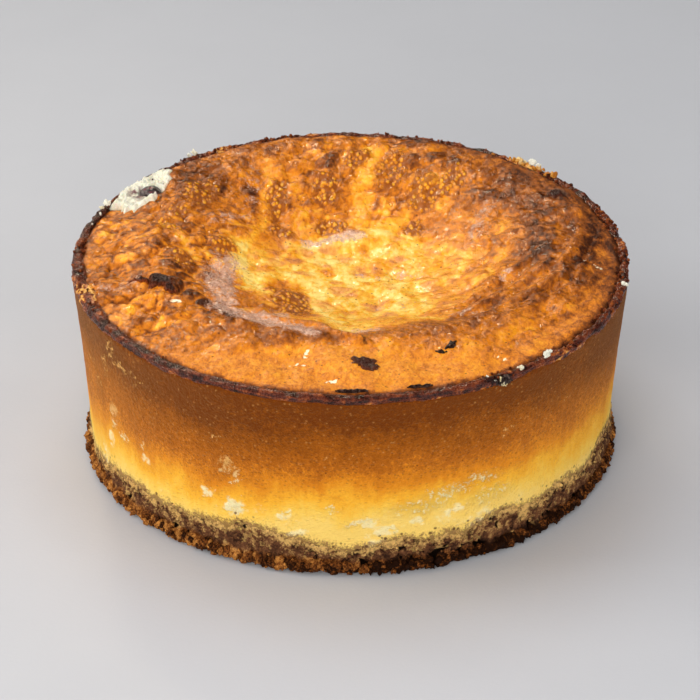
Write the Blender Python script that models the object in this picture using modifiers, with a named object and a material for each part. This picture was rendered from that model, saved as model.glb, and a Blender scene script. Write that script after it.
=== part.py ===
"""A whole baked cheesecake on a biscuit base, as it comes out of its round tin.

Units are metres and +Z is up. The origin is the middle of the underside. +X is the right-hand side
and -Y the front. The dense filling widens a little towards its crumbly dark rim and its middle has
sunk. The biscuit base runs right through below it, and a dark berry sits in a tear of the top skin.
"""

import math

import bmesh
import bpy
from mathutils import Matrix, Vector, noise

# Driving sizes of the cake
LIP_RADIUS = 0.1010
WALL_TOP_RADIUS = 0.1000
WALL_FOOT_RADIUS = 0.0960
WALL_FLARE = 1.3
SHOULDER_HEIGHT = 0.0731
STEPS = 160
FIT_GAP = 0.0003

# The browned top skin, and the sunken middle
SKIN_RADIUS = 0.0952
DISH_CENTRE = Vector((0.002, 0.011))
DISH_REACH = Vector((0.065, 0.072))
DISH_SQUARENESS = 2.4
DISH_DEPTH = 0.0120
DISH_FLOOR = 0.40
CREST_SWELL = 0.0016
LUMP = 0.0010
LUMP_SIZE = 0.015

# Soft swellings of the skin: place, half sizes, turn in degrees and height
SWELLINGS = (
    ("front left lobe", (-0.030, -0.055), (0.024, 0.009), -14, 0.0020),
    ("front right lobe", (0.032, -0.054), (0.030, 0.008), 20, 0.0016),
    ("left shoulder", (-0.066, -0.014), (0.011, 0.024), 8, 0.0018),
    ("left lump", (-0.075, 0.018), (0.010, 0.013), -20, 0.0014),
    ("back left blister", (-0.056, 0.046), (0.011, 0.016), -25, 0.0014),
    ("back blister", (-0.010, 0.072), (0.009, 0.013), 0, 0.0012),
    ("right shoulder", (0.078, 0.006), (0.010, 0.030), -8, 0.0016),
    ("right lump", (0.081, 0.038), (0.008, 0.011), 25, 0.0014),
    ("dish blister", (-0.024, -0.014), (0.009, 0.016), 12, 0.0012),
)

# Long folds of skin that run up the right-hand side
FOLD_CENTRE = Vector((0.060, -0.022))
FOLD_HALF_SIZE = Vector((0.036, 0.017))
FOLD_TURN = math.radians(43)
FOLD_SPACING = 0.0105
FOLD_HEIGHT = 0.0010

# The dark rim that crept up the tin
RIM_WIDTH = 0.0058
RIM_RISE = 0.0016
RIM_DROP = 0.0026
RIM_POINTS = 6
CRAG = 0.0012

# The baked wall, and the line where it meets the biscuit
WALL_RINGS = 5
WALL_WAVE = 0.0005
BASE_THICKNESS = 0.0140
BASE_WAVE = 0.0014
SEAT_SHARES = (1.0, 0.93, 0.62)
# Where the biscuit reaches higher or lower in the wall: bearing from the front, half width, height
SEAT_SWELLS = (
    (-75, 9, -0.0055),
    (-21, 8, 0.0040),
    (0, 6, -0.0030),
    (33, 6, 0.0038),
    (50, 6, 0.0032),
    (71, 7, 0.0060),
    (118, 10, 0.0034),
    (160, 12, -0.0026),
    (-128, 11, 0.0036),
)

# The biscuit base: a crumbly wall over a foot that spreads
BASE_RADIUS = 0.0961
FOOT_RADIUS = 0.0966
FOOT_HEIGHT = 0.0048
FOOT_REST_RADIUS = 0.0940
CRUMB = 0.0010

# The tear in the top skin, and the berry in it
TEAR_PLACE = Vector((-0.0785, 0.0500))
TEAR_HALF_SIZE = Vector((0.0075, 0.0170))
TEAR_TURN = math.radians(-31)
TEAR_DEPTH = 0.0024
BERRY_PLACE = Vector((-0.0748, 0.0505))
BERRY_RADII = Vector((0.0042, 0.0050, 0.0036))
BERRY_SHOWN = 0.55

# Charred scraps on the skin and rim: place, length, width and thickness, turn and curl
SCRAPS = (
    ("blister", (-0.0690, -0.0225), (0.0125, 0.0085, 0.0013), -0.45, 0.28),
    ("skin spot", (0.0055, -0.0780), (0.0100, 0.0060, 0.0012), -0.30, 0.05),
    ("small flake", (0.0335, -0.0690), (0.0060, 0.0036, 0.0011), 0.75, 0.20),
    ("rim patch", (0.0495, -0.0845), (0.0075, 0.0056, 0.0013), 0.55, -0.10),
    ("rim strip", (0.0225, -0.0925), (0.0080, 0.0022, 0.0012), 0.25, 0.00),
    ("skin curl", (-0.0705, 0.0470), (0.0110, 0.0036, 0.0012), 1.95, 0.35),
)

# Pale cheese crumbs on the lip: bearing in degrees and size
PALE_CRUMBS = ((-46.0, 0.0017), (-54.5, 0.0019), (-59.8, 0.0021))
PALE_CRUMB_SHAPE = (1.1, 0.9, 0.7)


def smooth(low, high, value):
    """0 below low, 1 above high, and an even S between them."""
    share = min(1.0, max(0.0, (value - low) / (high - low)))
    return share * share * (3 - 2 * share)


def bump(value, middle, width):
    """1 at the middle, falling to nothing a few widths away."""
    return math.exp(-(((value - middle) / width) ** 2))


def roughness_at(point, scale, seed):
    """Even noise from about -1 to 1, with lumps about as wide as scale."""
    return noise.noise(Vector(point) / scale + Vector((seed, 2.7 * seed, 1.3 * seed)))


def reach_from(x, y, place, half_size, turn):
    """Distance from a place as a share of an oval's half sizes: 1 on the oval's edge."""
    across = Matrix.Rotation(-turn, 2) @ (Vector((x, y)) - Vector(place))
    return math.hypot(across.x / half_size[0], across.y / half_size[1])


def crest_of(angle):
    """How far out the shoulder's crest stands, seen from the dish's middle: waves, and a pinched fold in front."""
    from_fold = angle + math.radians(92)
    fold = 0.07 * bump(from_fold, 0, 0.09) - 0.05 * bump(abs(from_fold), 0.28, 0.17)
    return fold + 0.022 * math.cos(3 * angle + 0.6) + 0.014 * math.cos(7 * angle + 2.1)


def dish_reach(x, y):
    """0 in the dish's middle, and 1 on the crest of the shoulder round it."""
    off = Vector((x, y)) - DISH_CENTRE
    shares = [abs(off[axis] / DISH_REACH[axis]) ** DISH_SQUARENESS for axis in (0, 1)]
    reach = sum(shares) ** (1 / DISH_SQUARENESS)
    return reach / (1 + crest_of(math.atan2(off.y, off.x)) * smooth(0.3, 0.9, reach))


def folds_at(x, y):
    """The long folds on the right-hand side, which wander a little and die away at their ends."""
    across = Matrix.Rotation(-FOLD_TURN, 2) @ (Vector((x, y)) - FOLD_CENTRE)
    shown = 1 - smooth(0.5, 1.15, reach_from(x, y, FOLD_CENTRE, FOLD_HALF_SIZE, FOLD_TURN))
    wander = 0.35 * roughness_at((x, y, 0), 0.030, 7)
    return FOLD_HEIGHT * shown * math.sin(2 * math.pi * (across.y / FOLD_SPACING + wander))


def tear_share(x, y):
    """1 in the middle of the tear in the skin, 0 outside it."""
    return 1 - smooth(0.7, 1.1, reach_from(x, y, TEAR_PLACE, TEAR_HALF_SIZE, TEAR_TURN))


def skin_height(x, y):
    """Height of the browned top over the surface that the cake stands on."""
    reach = dish_reach(x, y)
    slope = 0.75 * (1 - smooth(DISH_FLOOR, 1.04, reach))
    floor = 0.25 * (1 - smooth(0.0, 0.85, reach))
    sunk = DISH_DEPTH * (slope + floor) + TEAR_DEPTH * tear_share(x, y)
    swell = CREST_SWELL * bump(reach, 1.13, 0.15)
    for _, place, half_size, turn, height in SWELLINGS:
        swell += height * bump(reach_from(x, y, place, half_size, math.radians(turn)), 0, 1)
    lumps = LUMP * roughness_at((x, y, 0), LUMP_SIZE, 3) + 0.6 * LUMP * roughness_at((x, y, 0), LUMP_SIZE / 2, 5)
    return SHOULDER_HEIGHT + swell + lumps + folds_at(x, y) - sunk


def seat_height(x, y):
    """Height of the biscuit's top: level inside, and wavy where it shows at the wall."""
    radius = math.hypot(x, y) / WALL_FOOT_RADIUS
    show = smooth(SEAT_SHARES[2], SEAT_SHARES[1], radius)
    bearing = math.degrees(math.atan2(x, -y))
    wave = roughness_at((x, y, 0), 0.022, 11) + 0.6 * roughness_at((x, y, 0), 0.009, 13)
    swells = sum(rise * bump(bearing, place, width) for place, width, rise in SEAT_SWELLS)
    return BASE_THICKNESS + show * (BASE_WAVE * wave + swells)


def rim_profile():
    """The rim's round back, from its inner foot over the crest to the lip's underside."""
    first, last = math.radians(170), math.radians(-50)
    middle = LIP_RADIUS - RIM_WIDTH / 2
    turns = [first + (last - first) * i / (RIM_POINTS - 1) for i in range(RIM_POINTS)]
    rises = [RIM_RISE if math.sin(t) > 0 else RIM_DROP for t in turns]
    return [
        (middle + RIM_WIDTH / 2 * math.cos(t), SHOULDER_HEIGHT + rise * math.sin(t))
        for t, rise in zip(turns, rises)
    ]


def filling_profile():
    """Half section of the filling from the rim's inner foot down the outside to the middle of its seat."""
    top, foot = SHOULDER_HEIGHT - 1.6 * RIM_DROP, BASE_THICKNESS + FIT_GAP
    flare = WALL_TOP_RADIUS - WALL_FOOT_RADIUS
    shares = [1 - i / WALL_RINGS for i in range(WALL_RINGS)]
    wall = [(WALL_FOOT_RADIUS + flare * s**WALL_FLARE, foot + (top - foot) * s) for s in shares]
    seat = [(WALL_FOOT_RADIUS * share, foot) for share in SEAT_SHARES]
    return [(SKIN_RADIUS, SHOULDER_HEIGHT)] + rim_profile()[1:] + wall + seat + [(0, foot)]


def base_profile():
    """Half section of the biscuit base, from the middle of its top out, over the foot and in again."""
    seat = [(WALL_FOOT_RADIUS * share, BASE_THICKNESS) for share in reversed(SEAT_SHARES)]
    wall = [(BASE_RADIUS, BASE_THICKNESS * share) for share in (0.86, 0.62)]
    crevice = [(BASE_RADIUS - CRUMB / 2, FOOT_HEIGHT * 1.15)]
    foot = [(FOOT_RADIUS, FOOT_HEIGHT * 0.72), (FOOT_RADIUS, FOOT_HEIGHT * 0.28), (FOOT_REST_RADIUS, 0)]
    return [(0, BASE_THICKNESS)] + seat + wall + crevice + foot + [(0, 0)]


def baked(obj):
    """The object's mesh as its modifiers leave it. The object itself is removed."""
    bpy.context.view_layer.update()
    evaluated = obj.evaluated_get(bpy.context.evaluated_depsgraph_get())
    mesh = bpy.data.meshes.new_from_object(evaluated)
    mesh.transform(obj.matrix_world)
    bpy.data.objects.remove(obj)
    return mesh


def turned(name, profile):
    """A mesh turned about the Z axis from a half section."""
    section = bpy.data.meshes.new(name)
    points = [(radius, 0, height) for radius, height in profile]
    section.from_pydata(points, [(i, i + 1) for i in range(len(points) - 1)], [])
    lathe = bpy.data.objects.new(name + "_section", section)
    bpy.context.scene.collection.objects.link(lathe)
    screw = lathe.modifiers.new("turn", "SCREW")
    screw.steps = screw.render_steps = STEPS
    screw.use_merge_vertices = True
    screw.merge_threshold = 0.0001
    return baked(lathe)


def disc_point(across, along):
    """Where a point of a square from -1 to 1 lies on a disc of radius 1, with the squares kept even in size."""
    if across == along == 0:
        return 0.0, 0.0
    if abs(across) >= abs(along):
        radius, angle = across, math.pi / 4 * along / across
    else:
        radius, angle = along, math.pi / 2 - math.pi / 4 * across / along
    return radius * math.cos(angle), radius * math.sin(angle)


def close_with_skin(mesh):
    """Welds an even disc of squares into the open top of the turned mesh, edge point to edge point."""
    shape = bmesh.new()
    shape.from_mesh(mesh)
    disc = bmesh.ops.create_grid(shape, x_segments=STEPS // 4, y_segments=STEPS // 4, size=1)["verts"]
    for vert in disc:
        x, y = disc_point(round(vert.co.x, 6), round(vert.co.y, 6))
        vert.co = Vector((x * SKIN_RADIUS, y * SKIN_RADIUS, SHOULDER_HEIGHT))
    bmesh.ops.remove_doubles(shape, verts=shape.verts, dist=0.00005)
    bmesh.ops.recalc_face_normals(shape, faces=shape.faces)
    shape.to_mesh(mesh)
    shape.free()


def new_object(name, mesh, collection, material):
    obj = bpy.data.objects.new(name, mesh)
    collection.objects.link(obj)
    mesh.materials.clear()
    mesh.materials.append(material)
    return obj


def food_material(name, colour, roughness):
    material = bpy.data.materials.new(name)
    material.use_nodes = True
    shader = material.node_tree.nodes["Principled BSDF"]
    shader.inputs["Base Color"].default_value = (*colour, 1)
    shader.inputs["Roughness"].default_value = roughness
    shader.inputs["Metallic"].default_value = 0
    return material


def outward_from_axis(point):
    return Vector((point.x, point.y, 0)).normalized()


def shape_filling(mesh):
    """Gives the turned filling its sunken top, crumbly rim, uneven wall and wavy seat."""
    rim_foot = SHOULDER_HEIGHT - RIM_DROP
    for vertex in mesh.vertices:
        point = vertex.co.copy()
        if point.z > rim_foot and math.hypot(point.x, point.y) < SKIN_RADIUS + FIT_GAP:
            vertex.co.z = skin_height(point.x, point.y)
        elif point.z > rim_foot:
            crags = roughness_at(point, 0.006, 17) + 0.5 * roughness_at(point, 0.013, 18)
            heights = roughness_at(point, 0.005, 19) + 0.7 * roughness_at(point, 0.020, 23)
            torn = TEAR_DEPTH * tear_share(point.x * 0.98, point.y * 0.98)
            vertex.co += CRAG * crags * outward_from_axis(point) + Vector((0, 0, CRAG * heights - torn))
        elif point.z > BASE_THICKNESS + 2 * FIT_GAP:
            vertex.co += WALL_WAVE * roughness_at(point, 0.028, 29) * outward_from_axis(point)
        else:
            vertex.co.z = seat_height(point.x, point.y) + FIT_GAP


def shape_base(mesh):
    """Gives the turned base its wavy top edge and crumbly outside. Its underside stays flat."""
    for vertex in mesh.vertices:
        point = vertex.co.copy()
        if point.z > BASE_THICKNESS - FIT_GAP:
            vertex.co.z = seat_height(point.x, point.y)
        elif point.z > 0:
            crumbs = roughness_at(point, 0.004, 31) + 0.6 * roughness_at(point, 0.011, 37)
            vertex.co += CRUMB * crumbs * outward_from_axis(point)
            if point.z > FOOT_HEIGHT:
                vertex.co.z *= seat_height(point.x, point.y) / BASE_THICKNESS


def lying_height(x, y):
    """Height that a scrap lies at, on the skin or on the rim's back."""
    radius = math.hypot(x, y)
    if radius < SKIN_RADIUS:
        return skin_height(x, y)
    across = min(1.0, abs(radius - LIP_RADIUS + RIM_WIDTH / 2) / (RIM_WIDTH / 2))
    return SHOULDER_HEIGHT + RIM_RISE * math.sqrt(1 - across * across)


def scrap_mesh(place, size, turn, curl):
    """A thin curled flake that lies on the skin, with a ragged outline."""
    bpy.ops.mesh.primitive_grid_add(x_subdivisions=5, y_subdivisions=3, size=1)
    obj = bpy.context.object
    for vertex in obj.data.vertices:
        x, y = vertex.co.x, vertex.co.y
        ragged = 1 + 0.35 * roughness_at((x + 90 * place[0], y, 0), 0.4, 41)
        taper = 1 - 0.5 * abs(x) ** 1.5
        curled = curl * size[1] * (y * y + 0.3 * x * x)
        vertex.co = Vector((x * size[0] * ragged, y * size[1] * ragged * taper, curled))
    solid = obj.modifiers.new("thickness", "SOLIDIFY")
    solid.thickness = size[2]
    solid.offset = 0
    obj.rotation_euler.z = turn
    obj.location = (*place, lying_height(*place) + 0.2 * size[2])
    return baked(obj)


def pale_crumb_mesh(degrees, size):
    """A crumb of pale cheese on the outer edge of the lip."""
    bearing, radius = math.radians(degrees), LIP_RADIUS - 0.0012
    x, y = radius * math.cos(bearing), radius * math.sin(bearing)
    bpy.ops.mesh.primitive_ico_sphere_add(subdivisions=1, radius=size)
    crumb = bpy.context.object
    crumb.scale = PALE_CRUMB_SHAPE
    crumb.rotation_euler.z = 10 * bearing
    crumb.location = (x, y, lying_height(x, y) + 0.0002)
    return baked(crumb)


def berry_mesh(clearance):
    """The berry's shrivelled skin, grown by a clearance. Its socket is the same shape with more clearance."""
    bpy.ops.mesh.primitive_uv_sphere_add(segments=16, ring_count=10, radius=1)
    obj = bpy.context.object
    for vertex in obj.data.vertices:
        direction = vertex.co.normalized()
        shrivel = 1 + 0.09 * roughness_at(direction, 0.55, 43)
        vertex.co = Vector(d * (radius * shrivel + clearance) for d, radius in zip(direction, BERRY_RADII))
    obj.rotation_euler.z = TEAR_TURN
    sunk = (2 * BERRY_SHOWN - 1) * BERRY_RADII.z
    obj.location = (*BERRY_PLACE, skin_height(*BERRY_PLACE) + sunk)
    return baked(obj)


def apply_boolean(obj, operation, helpers):
    """Joins or cuts the object with a collection of helpers, keeps the result, and removes the helpers."""
    modifier = obj.modifiers.new(operation.lower(), "BOOLEAN")
    modifier.operation = operation
    modifier.operand_type = "COLLECTION"
    modifier.collection = helpers
    modifier.solver = "MANIFOLD"
    bpy.context.view_layer.update()
    mesh = bpy.data.meshes.new_from_object(obj.evaluated_get(bpy.context.evaluated_depsgraph_get()))
    obj.modifiers.clear()
    obj.data = mesh
    for helper in list(helpers.objects):
        bpy.data.objects.remove(helper)
    bpy.data.collections.remove(helpers)


def helper_collection(name):
    helpers = bpy.data.collections.new(name)
    bpy.context.scene.collection.children.link(helpers)
    return helpers


def fuse_scraps(filling, material):
    """Joins the charred scraps and pale crumbs to what they lie on, in one union."""
    scraps = helper_collection("scraps")
    for name, place, size, turn, curl in SCRAPS:
        new_object(name, scrap_mesh(place, size, turn, curl), scraps, material)
    for degrees, size in PALE_CRUMBS:
        new_object(f"pale crumb at {degrees:g}", pale_crumb_mesh(degrees, size), scraps, material)
    apply_boolean(filling, "UNION", scraps)


def cut_berry_socket(filling, material):
    """Leaves room for the berry, with the fitting gap all round."""
    cutters = helper_collection("cutters")
    new_object("berry socket", berry_mesh(1.3 * FIT_GAP), cutters, material)
    apply_boolean(filling, "DIFFERENCE", cutters)


def drop_loose_shells(mesh):
    """Keeps the largest closed shell, without any scrap that a cut left loose."""
    shape = bmesh.new()
    shape.from_mesh(mesh)
    unseen, shells = set(shape.verts), []
    while unseen:
        shell, front = set(), [unseen.pop()]
        while front:
            vert = front.pop()
            shell.add(vert)
            near = {edge.other_vert(vert) for edge in vert.link_edges} & unseen
            unseen -= near
            front.extend(near)
        shells.append(shell)
    shells.sort(key=len)
    bmesh.ops.delete(shape, geom=[vert for shell in shells[:-1] for vert in shell], context="VERTS")
    shape.to_mesh(mesh)
    shape.free()


def settle(objects):
    """Moves the cake so that its widest outline is centred on the origin."""
    corners = [vertex.co for obj in objects for vertex in obj.data.vertices]
    for axis in (0, 1):
        values = [corner[axis] for corner in corners]
        middle = (min(values) + max(values)) / 2
        for corner in corners:
            corner[axis] -= middle


def split_quads(mesh):
    """Splits every quad by its shorter diagonal, so that the two meeting faces agree."""
    shape = bmesh.new()
    shape.from_mesh(mesh)
    bmesh.ops.triangulate(shape, faces=shape.faces, quad_method="SHORT_EDGE")
    shape.to_mesh(mesh)
    shape.free()


def main():
    for obj in list(bpy.data.objects):
        bpy.data.objects.remove(obj)
    cake = bpy.data.collections.new("baked_cheesecake")
    bpy.context.scene.collection.children.link(cake)

    custard = food_material("baked_custard", (0.62, 0.26, 0.05), 0.55)
    biscuit = food_material("biscuit_crumb", (0.20, 0.10, 0.04), 0.85)
    fruit = food_material("dark_berry_skin", (0.035, 0.028, 0.040), 0.35)

    filling = new_object("baked_filling", turned("baked_filling", filling_profile()), cake, custard)
    close_with_skin(filling.data)
    shape_filling(filling.data)
    split_quads(filling.data)
    fuse_scraps(filling, custard)
    cut_berry_socket(filling, custard)
    drop_loose_shells(filling.data)

    base = new_object("biscuit_base", turned("biscuit_base", base_profile()), cake, biscuit)
    shape_base(base.data)
    split_quads(base.data)

    berry = new_object("dark_berry", berry_mesh(0), cake, fruit)

    settle([filling, base, berry])
    for obj in (filling, base, berry):
        obj.data.shade_smooth()


main()
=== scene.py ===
"""The looks of the baked cheesecake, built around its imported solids.

Lengths in the tables are millimetres, seen from above with x to the right and y to the back.
Bearings on the wall are degrees from the front, positive to the right.
"""

import math

import bpy
import numpy as np
from mathutils import Euler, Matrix, Vector, kdtree, noise


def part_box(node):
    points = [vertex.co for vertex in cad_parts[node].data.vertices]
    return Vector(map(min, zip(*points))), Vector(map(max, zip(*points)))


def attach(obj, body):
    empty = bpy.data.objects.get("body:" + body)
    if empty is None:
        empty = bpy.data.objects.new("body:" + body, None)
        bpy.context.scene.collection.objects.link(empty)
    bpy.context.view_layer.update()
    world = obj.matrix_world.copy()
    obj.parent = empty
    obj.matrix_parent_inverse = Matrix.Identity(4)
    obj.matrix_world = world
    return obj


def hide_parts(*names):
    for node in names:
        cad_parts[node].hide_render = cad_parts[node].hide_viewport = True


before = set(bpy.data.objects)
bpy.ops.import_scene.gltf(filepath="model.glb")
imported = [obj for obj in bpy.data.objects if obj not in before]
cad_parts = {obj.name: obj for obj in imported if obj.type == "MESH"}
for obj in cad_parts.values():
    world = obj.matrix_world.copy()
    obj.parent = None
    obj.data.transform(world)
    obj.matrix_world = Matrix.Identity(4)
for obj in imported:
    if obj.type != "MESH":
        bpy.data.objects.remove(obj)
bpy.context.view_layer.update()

bl_info = {
    "name": "Baked cheesecake",
    "version": (1, 0, 0),
    "blender": (4, 5, 0),
    "location": "3D View > Sidebar > Cheesecake",
    "description": "Builds a whole baked cheesecake with its browned skin, pale wall and biscuit base",
    "category": "Add Mesh",
}

MM = 0.001
IMAGE_SIDE = 700

# The same form as the solids: shoulder, sunken dish, swellings and long folds
SHOULDER = 73.1
RIM_LEVEL = SHOULDER - 0.9
# Radius along which noise runs round the rim
RIM_MIDDLE = 97
DISH_CENTRE = (2.0, 11.0)
DISH_REACH = (65.0, 72.0)
DISH_SQUARENESS = 2.4
DISH_DEPTH = 12.0
DISH_FLOOR = 0.40
CREST_SWELL = 1.6
LUMP = 1.0
LUMP_SIZE = 15.0
TEAR = ((-78.5, 50.0), (7.5, 17.0), -31, 2.4)
SWELLINGS = (
    ((-30, -55), (24, 9), -14, 2.0),
    ((32, -54), (30, 8), 20, 1.6),
    ((-66, -14), (11, 24), 8, 1.8),
    ((-75, 18), (10, 13), -20, 1.4),
    ((-56, 46), (11, 16), -25, 1.4),
    ((-10, 72), (9, 13), 0, 1.2),
    ((78, 6), (10, 30), -8, 1.6),
    ((81, 38), (8, 11), 25, 1.4),
    ((-24, -14), (9, 16), 12, 1.2),
)
FOLDS = ((60, -22), (36, 17), 43, 10.5, 1.0)

# How far each area of the skin is baked: place, half sizes, turn, level, how strongly it shows
BAKED_AREAS = (
    ((0, -78), (80, 17), 0, 0.43, 0.9),
    ((-52, -66), (26, 17), -38, 0.50, 0.8),
    ((-86, -20), (9, 42), 4, 0.48, 0.85),
    ((92, -2), (7, 56), 0, 0.88, 0.95),
    ((66, -62), (30, 12), 42, 0.53, 0.85),
    ((0, 91), (62, 6), 0, 0.66, 0.9),
    ((0, 93), (14, 3), 0, 0.46, 0.8),
    ((-80, 26), (11, 18), -10, 0.50, 0.8),
    ((2, 2), (46, 52), 0, 0.29, 1.0),
    ((-38, 12), (14, 18), 10, 0.28, 1.0),
    ((28, 58), (10, 24), -22, 0.42, 0.9),
    ((50, 22), (20, 40), -8, 0.47, 0.9),
    ((3, -47), (22, 9), 0, 0.29, 1.0),
    ((-62, -12), (12, 23), 14, 0.68, 0.95),
    ((-52, -34), (13, 22), 24, 0.78, 0.95),
    ((-36, -57), (29, 10), -14, 0.70, 0.95),
    ((-9, -61), (12, 5), -22, 0.72, 0.9),
    ((34, -50), (36, 10), 18, 0.68, 0.95),
    ((74, 4), (19, 48), -8, 0.84, 1.0),
    ((60, -22), (13, 24), -42, 0.66, 0.9),
    ((66, 54), (22, 30), 32, 0.84, 0.95),
    ((46, 78), (34, 12), -28, 0.80, 0.95),
    ((-57, 57), (15, 20), -12, 0.90, 0.95),
    ((-38, 78), (22, 9), 18, 0.72, 0.9),
    ((-14, 69), (12, 15), 0, 0.76, 0.95),
    ((3, 82), (5, 8), -6, 0.84, 0.9),
    ((17, 73), (6, 14), -8, 0.58, 0.85),
    ((-21, -18), (9, 19), 14, 0.72, 1.0),
    ((-47, 15), (5, 8), 0, 0.68, 0.95),
    ((-55, 25), (6, 9), 20, 0.64, 0.9),
    ((-26, 42), (5, 13), -6, 0.60, 0.9),
    ((-8, 41), (7, 6), 0, 0.60, 0.8),
    ((-37, 58), (9, 18), 0, 0.80, 0.9),
    ((76, 44), (4, 5), 20, 0.98, 0.9),
    ((14, 7), (14, 6), -10, 0.38, 0.6),
    ((0, 21), (8, 5), 0, 0.36, 0.6),
    ((18, -22), (11, 6), 10, 0.37, 0.6),
    ((4, -32), (9, 5), 0, 0.36, 0.6),
)
# Bright seams where the skin drew apart: their lines, half width, level
BRIGHT_SEAMS = (
    (((7, 87), (8, 75), (5, 65), (2, 57), (7, 45), (4, 35)), 2.6, 0.27),
    (((-30, 76), (-31, 61), (-33, 47), (-33, 33), (-38, 21)), 1.5, 0.31),
    (((31, 66), (25, 55), (18, 45), (7, 39)), 2.0, 0.28),
    (((-69, 22), (-64, 13), (-58, 5), (-57, 0)), 1.6, 0.22),
    (((-40, 19), (-41, 9), (-37, -3), (-32, -13)), 3.4, 0.10),
    (((-26, 29), (-19, 28), (-11, 29), (1, 35)), 1.9, 0.13),
    (((-12, -7), (-12, -19), (-9, -31), (-5, -43), (-1, -56)), 2.8, 0.12),
    (((15, -7), (21, -23), (23, -35), (33, -43)), 2.0, 0.14),
    (((27, 29), (35, 21), (43, 13), (39, 1)), 1.8, 0.17),
)
# Thin dark folds and cracks, sunk as grooves and darkened, partly as darker baked skin and partly as painted
# shade: their lines, half width, depth
CRACKS = (
    (((-72, 66), (-66, 68), (-58, 66)), 1.1, 0.9),
    (((-70, 60), (-68, 52), (-70, 45), (-73, 41)), 0.8, 0.8),
    (((0, -57), (3, -62), (3, -67)), 0.8, 0.7),
    (((90, 20), (88, 8), (84, -6), (76, -20), (66, -30), (52, -38)), 0.7, 0.45),
    (((70, 60), (76, 50), (80, 40)), 0.8, 0.6),
    (((58, -14), (50, -24), (38, -34)), 0.7, 0.5),
    (((-84, -36), (-78, -34), (-74, -37)), 0.6, 0.4),
    (((-46, -30), (-50, -42), (-42, -52)), 0.6, 0.4),
    (((-18, -44), (-8, -50), (0, -56)), 0.7, 0.6),
)
# Swollen lips of skin: their lines, half width, rise
LIPS = (
    (((-31, -30), (-31, -42), (-23, -48), (-12, -51), (-4, -57), (2, -65)), 3.3, 2.3),
    (((-66, 66), (-66, 56), (-68, 46)), 2.2, 0.9),
    (((84, 32), (83, 12), (78, -6), (68, -22), (54, -32)), 3.4, 0.9),
)
# Pinkish-grey film of dried skin, whose whitish colour is partly a painted sheen: its lines, half width, how
# strongly it shows
FILMS_AND_SHEENS = (
    (((-45, 4), (-47, -15), (-43, -34), (-33, -47)), 8.5, 0.85),
    (((-33, -46), (-24, -54), (-14, -58)), 5.0, 0.95),
    (((-36, 70), (-37, 52), (-41, 38), (-51, 30)), 5.0, 0.45),
    (((-24, -34), (-27, -42)), 5.0, 0.80),
    (((-16, 32), (-5, 33), (3, 36)), 4.5, 0.85),
    (((-4, -52), (8, -52)), 5.0, 0.70),
    (((54, -12), (58, -8)), 2.5, 0.90),
    (((44, 24), (52, 44)), 4.0, 0.55),
    (((36, -38), (46, -38)), 3.0, 0.60),
    (((-86, -26), (-78, -22)), 5.0, 0.60),
    (((6, 8), (22, 6)), 5.5, 0.45),
    (((-4, 21), (4, 22)), 4.5, 0.45),
    (((12, -22), (26, -20)), 5.5, 0.45),
    (((62, 44), (66, 58)), 5.0, 0.30),
)
# Patches of small burst bubbles: place, half sizes, turn
BEADED_AREAS = (
    ((-21, -20), (8, 15.5), 14), ((-56, 48), (7, 13.5), -18), ((-28, 54), (4, 15), -5),
    ((-6, 41), (7.5, 5.5), 0), ((-9, 62), (7.5, 10), -20), ((16, 72), (7, 14), -10),
    ((3, 79), (4, 8), -15), ((-26, 36), (6, 6), 0), ((-68, 20), (5, 8), 20), ((-62, -4), (5, 9), 20),
    ((-46, 15), (4.5, 7), 0), ((-62, 80), (5, 3), 30), ((28, 58), (7, 12), -20), ((-64, 32), (4, 6), 0),
    ((38, 62), (5, 10), -30), ((24, 40), (5, 6), 0),
)
# Knobs of blistered skin along the front left crest and round the dish: place, radius, height
KNOBS = (
    ((-50, -48), 6.0, 1.2), ((-39, -55), 7.0, 1.2), ((-24, -61), 6.5, 1.1), ((-10, -61), 4.5, 0.9),
    ((-48, -60), 4.5, 1.0), ((-36, -67), 5.0, 0.9), ((-58, -34), 5.0, 1.0), ((-60, 2), 5.0, 1.0),
    ((-45, 16), 5.5, 1.4), ((-54, 27), 6.5, 1.4), ((82, 30), 6.0, 1.2), ((79, 46), 5.0, 1.4),
    ((-88, -30), 4.5, 0.8), ((-80, -40), 5.0, 0.9), ((-72, 6), 5.5, 1.0), ((-82, 12), 5.0, 0.8),
    ((-66, 26), 5.0, 1.0), ((-70, -34), 5.5, 1.2), ((-64, -46), 5.5, 1.1), ((-76, -50), 4.5, 0.8),
    ((-57, -57), 4.5, 0.9),
)
# Scratches in the skin that show pale cheese: place, half length, turn
SCRATCHES = (
    ((-62, -38), 1.6, 10), ((-48, -53), 2.6, -40), ((-8, -66.5), 3.8, -6), ((-15, -72), 2.2, 60),
    ((-19, -77.5), 2.4, -5), ((-6, -88), 2.2, 10), ((88, -8.5), 1.4, -20), ((50, -73), 2.0, -30),
)

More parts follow.
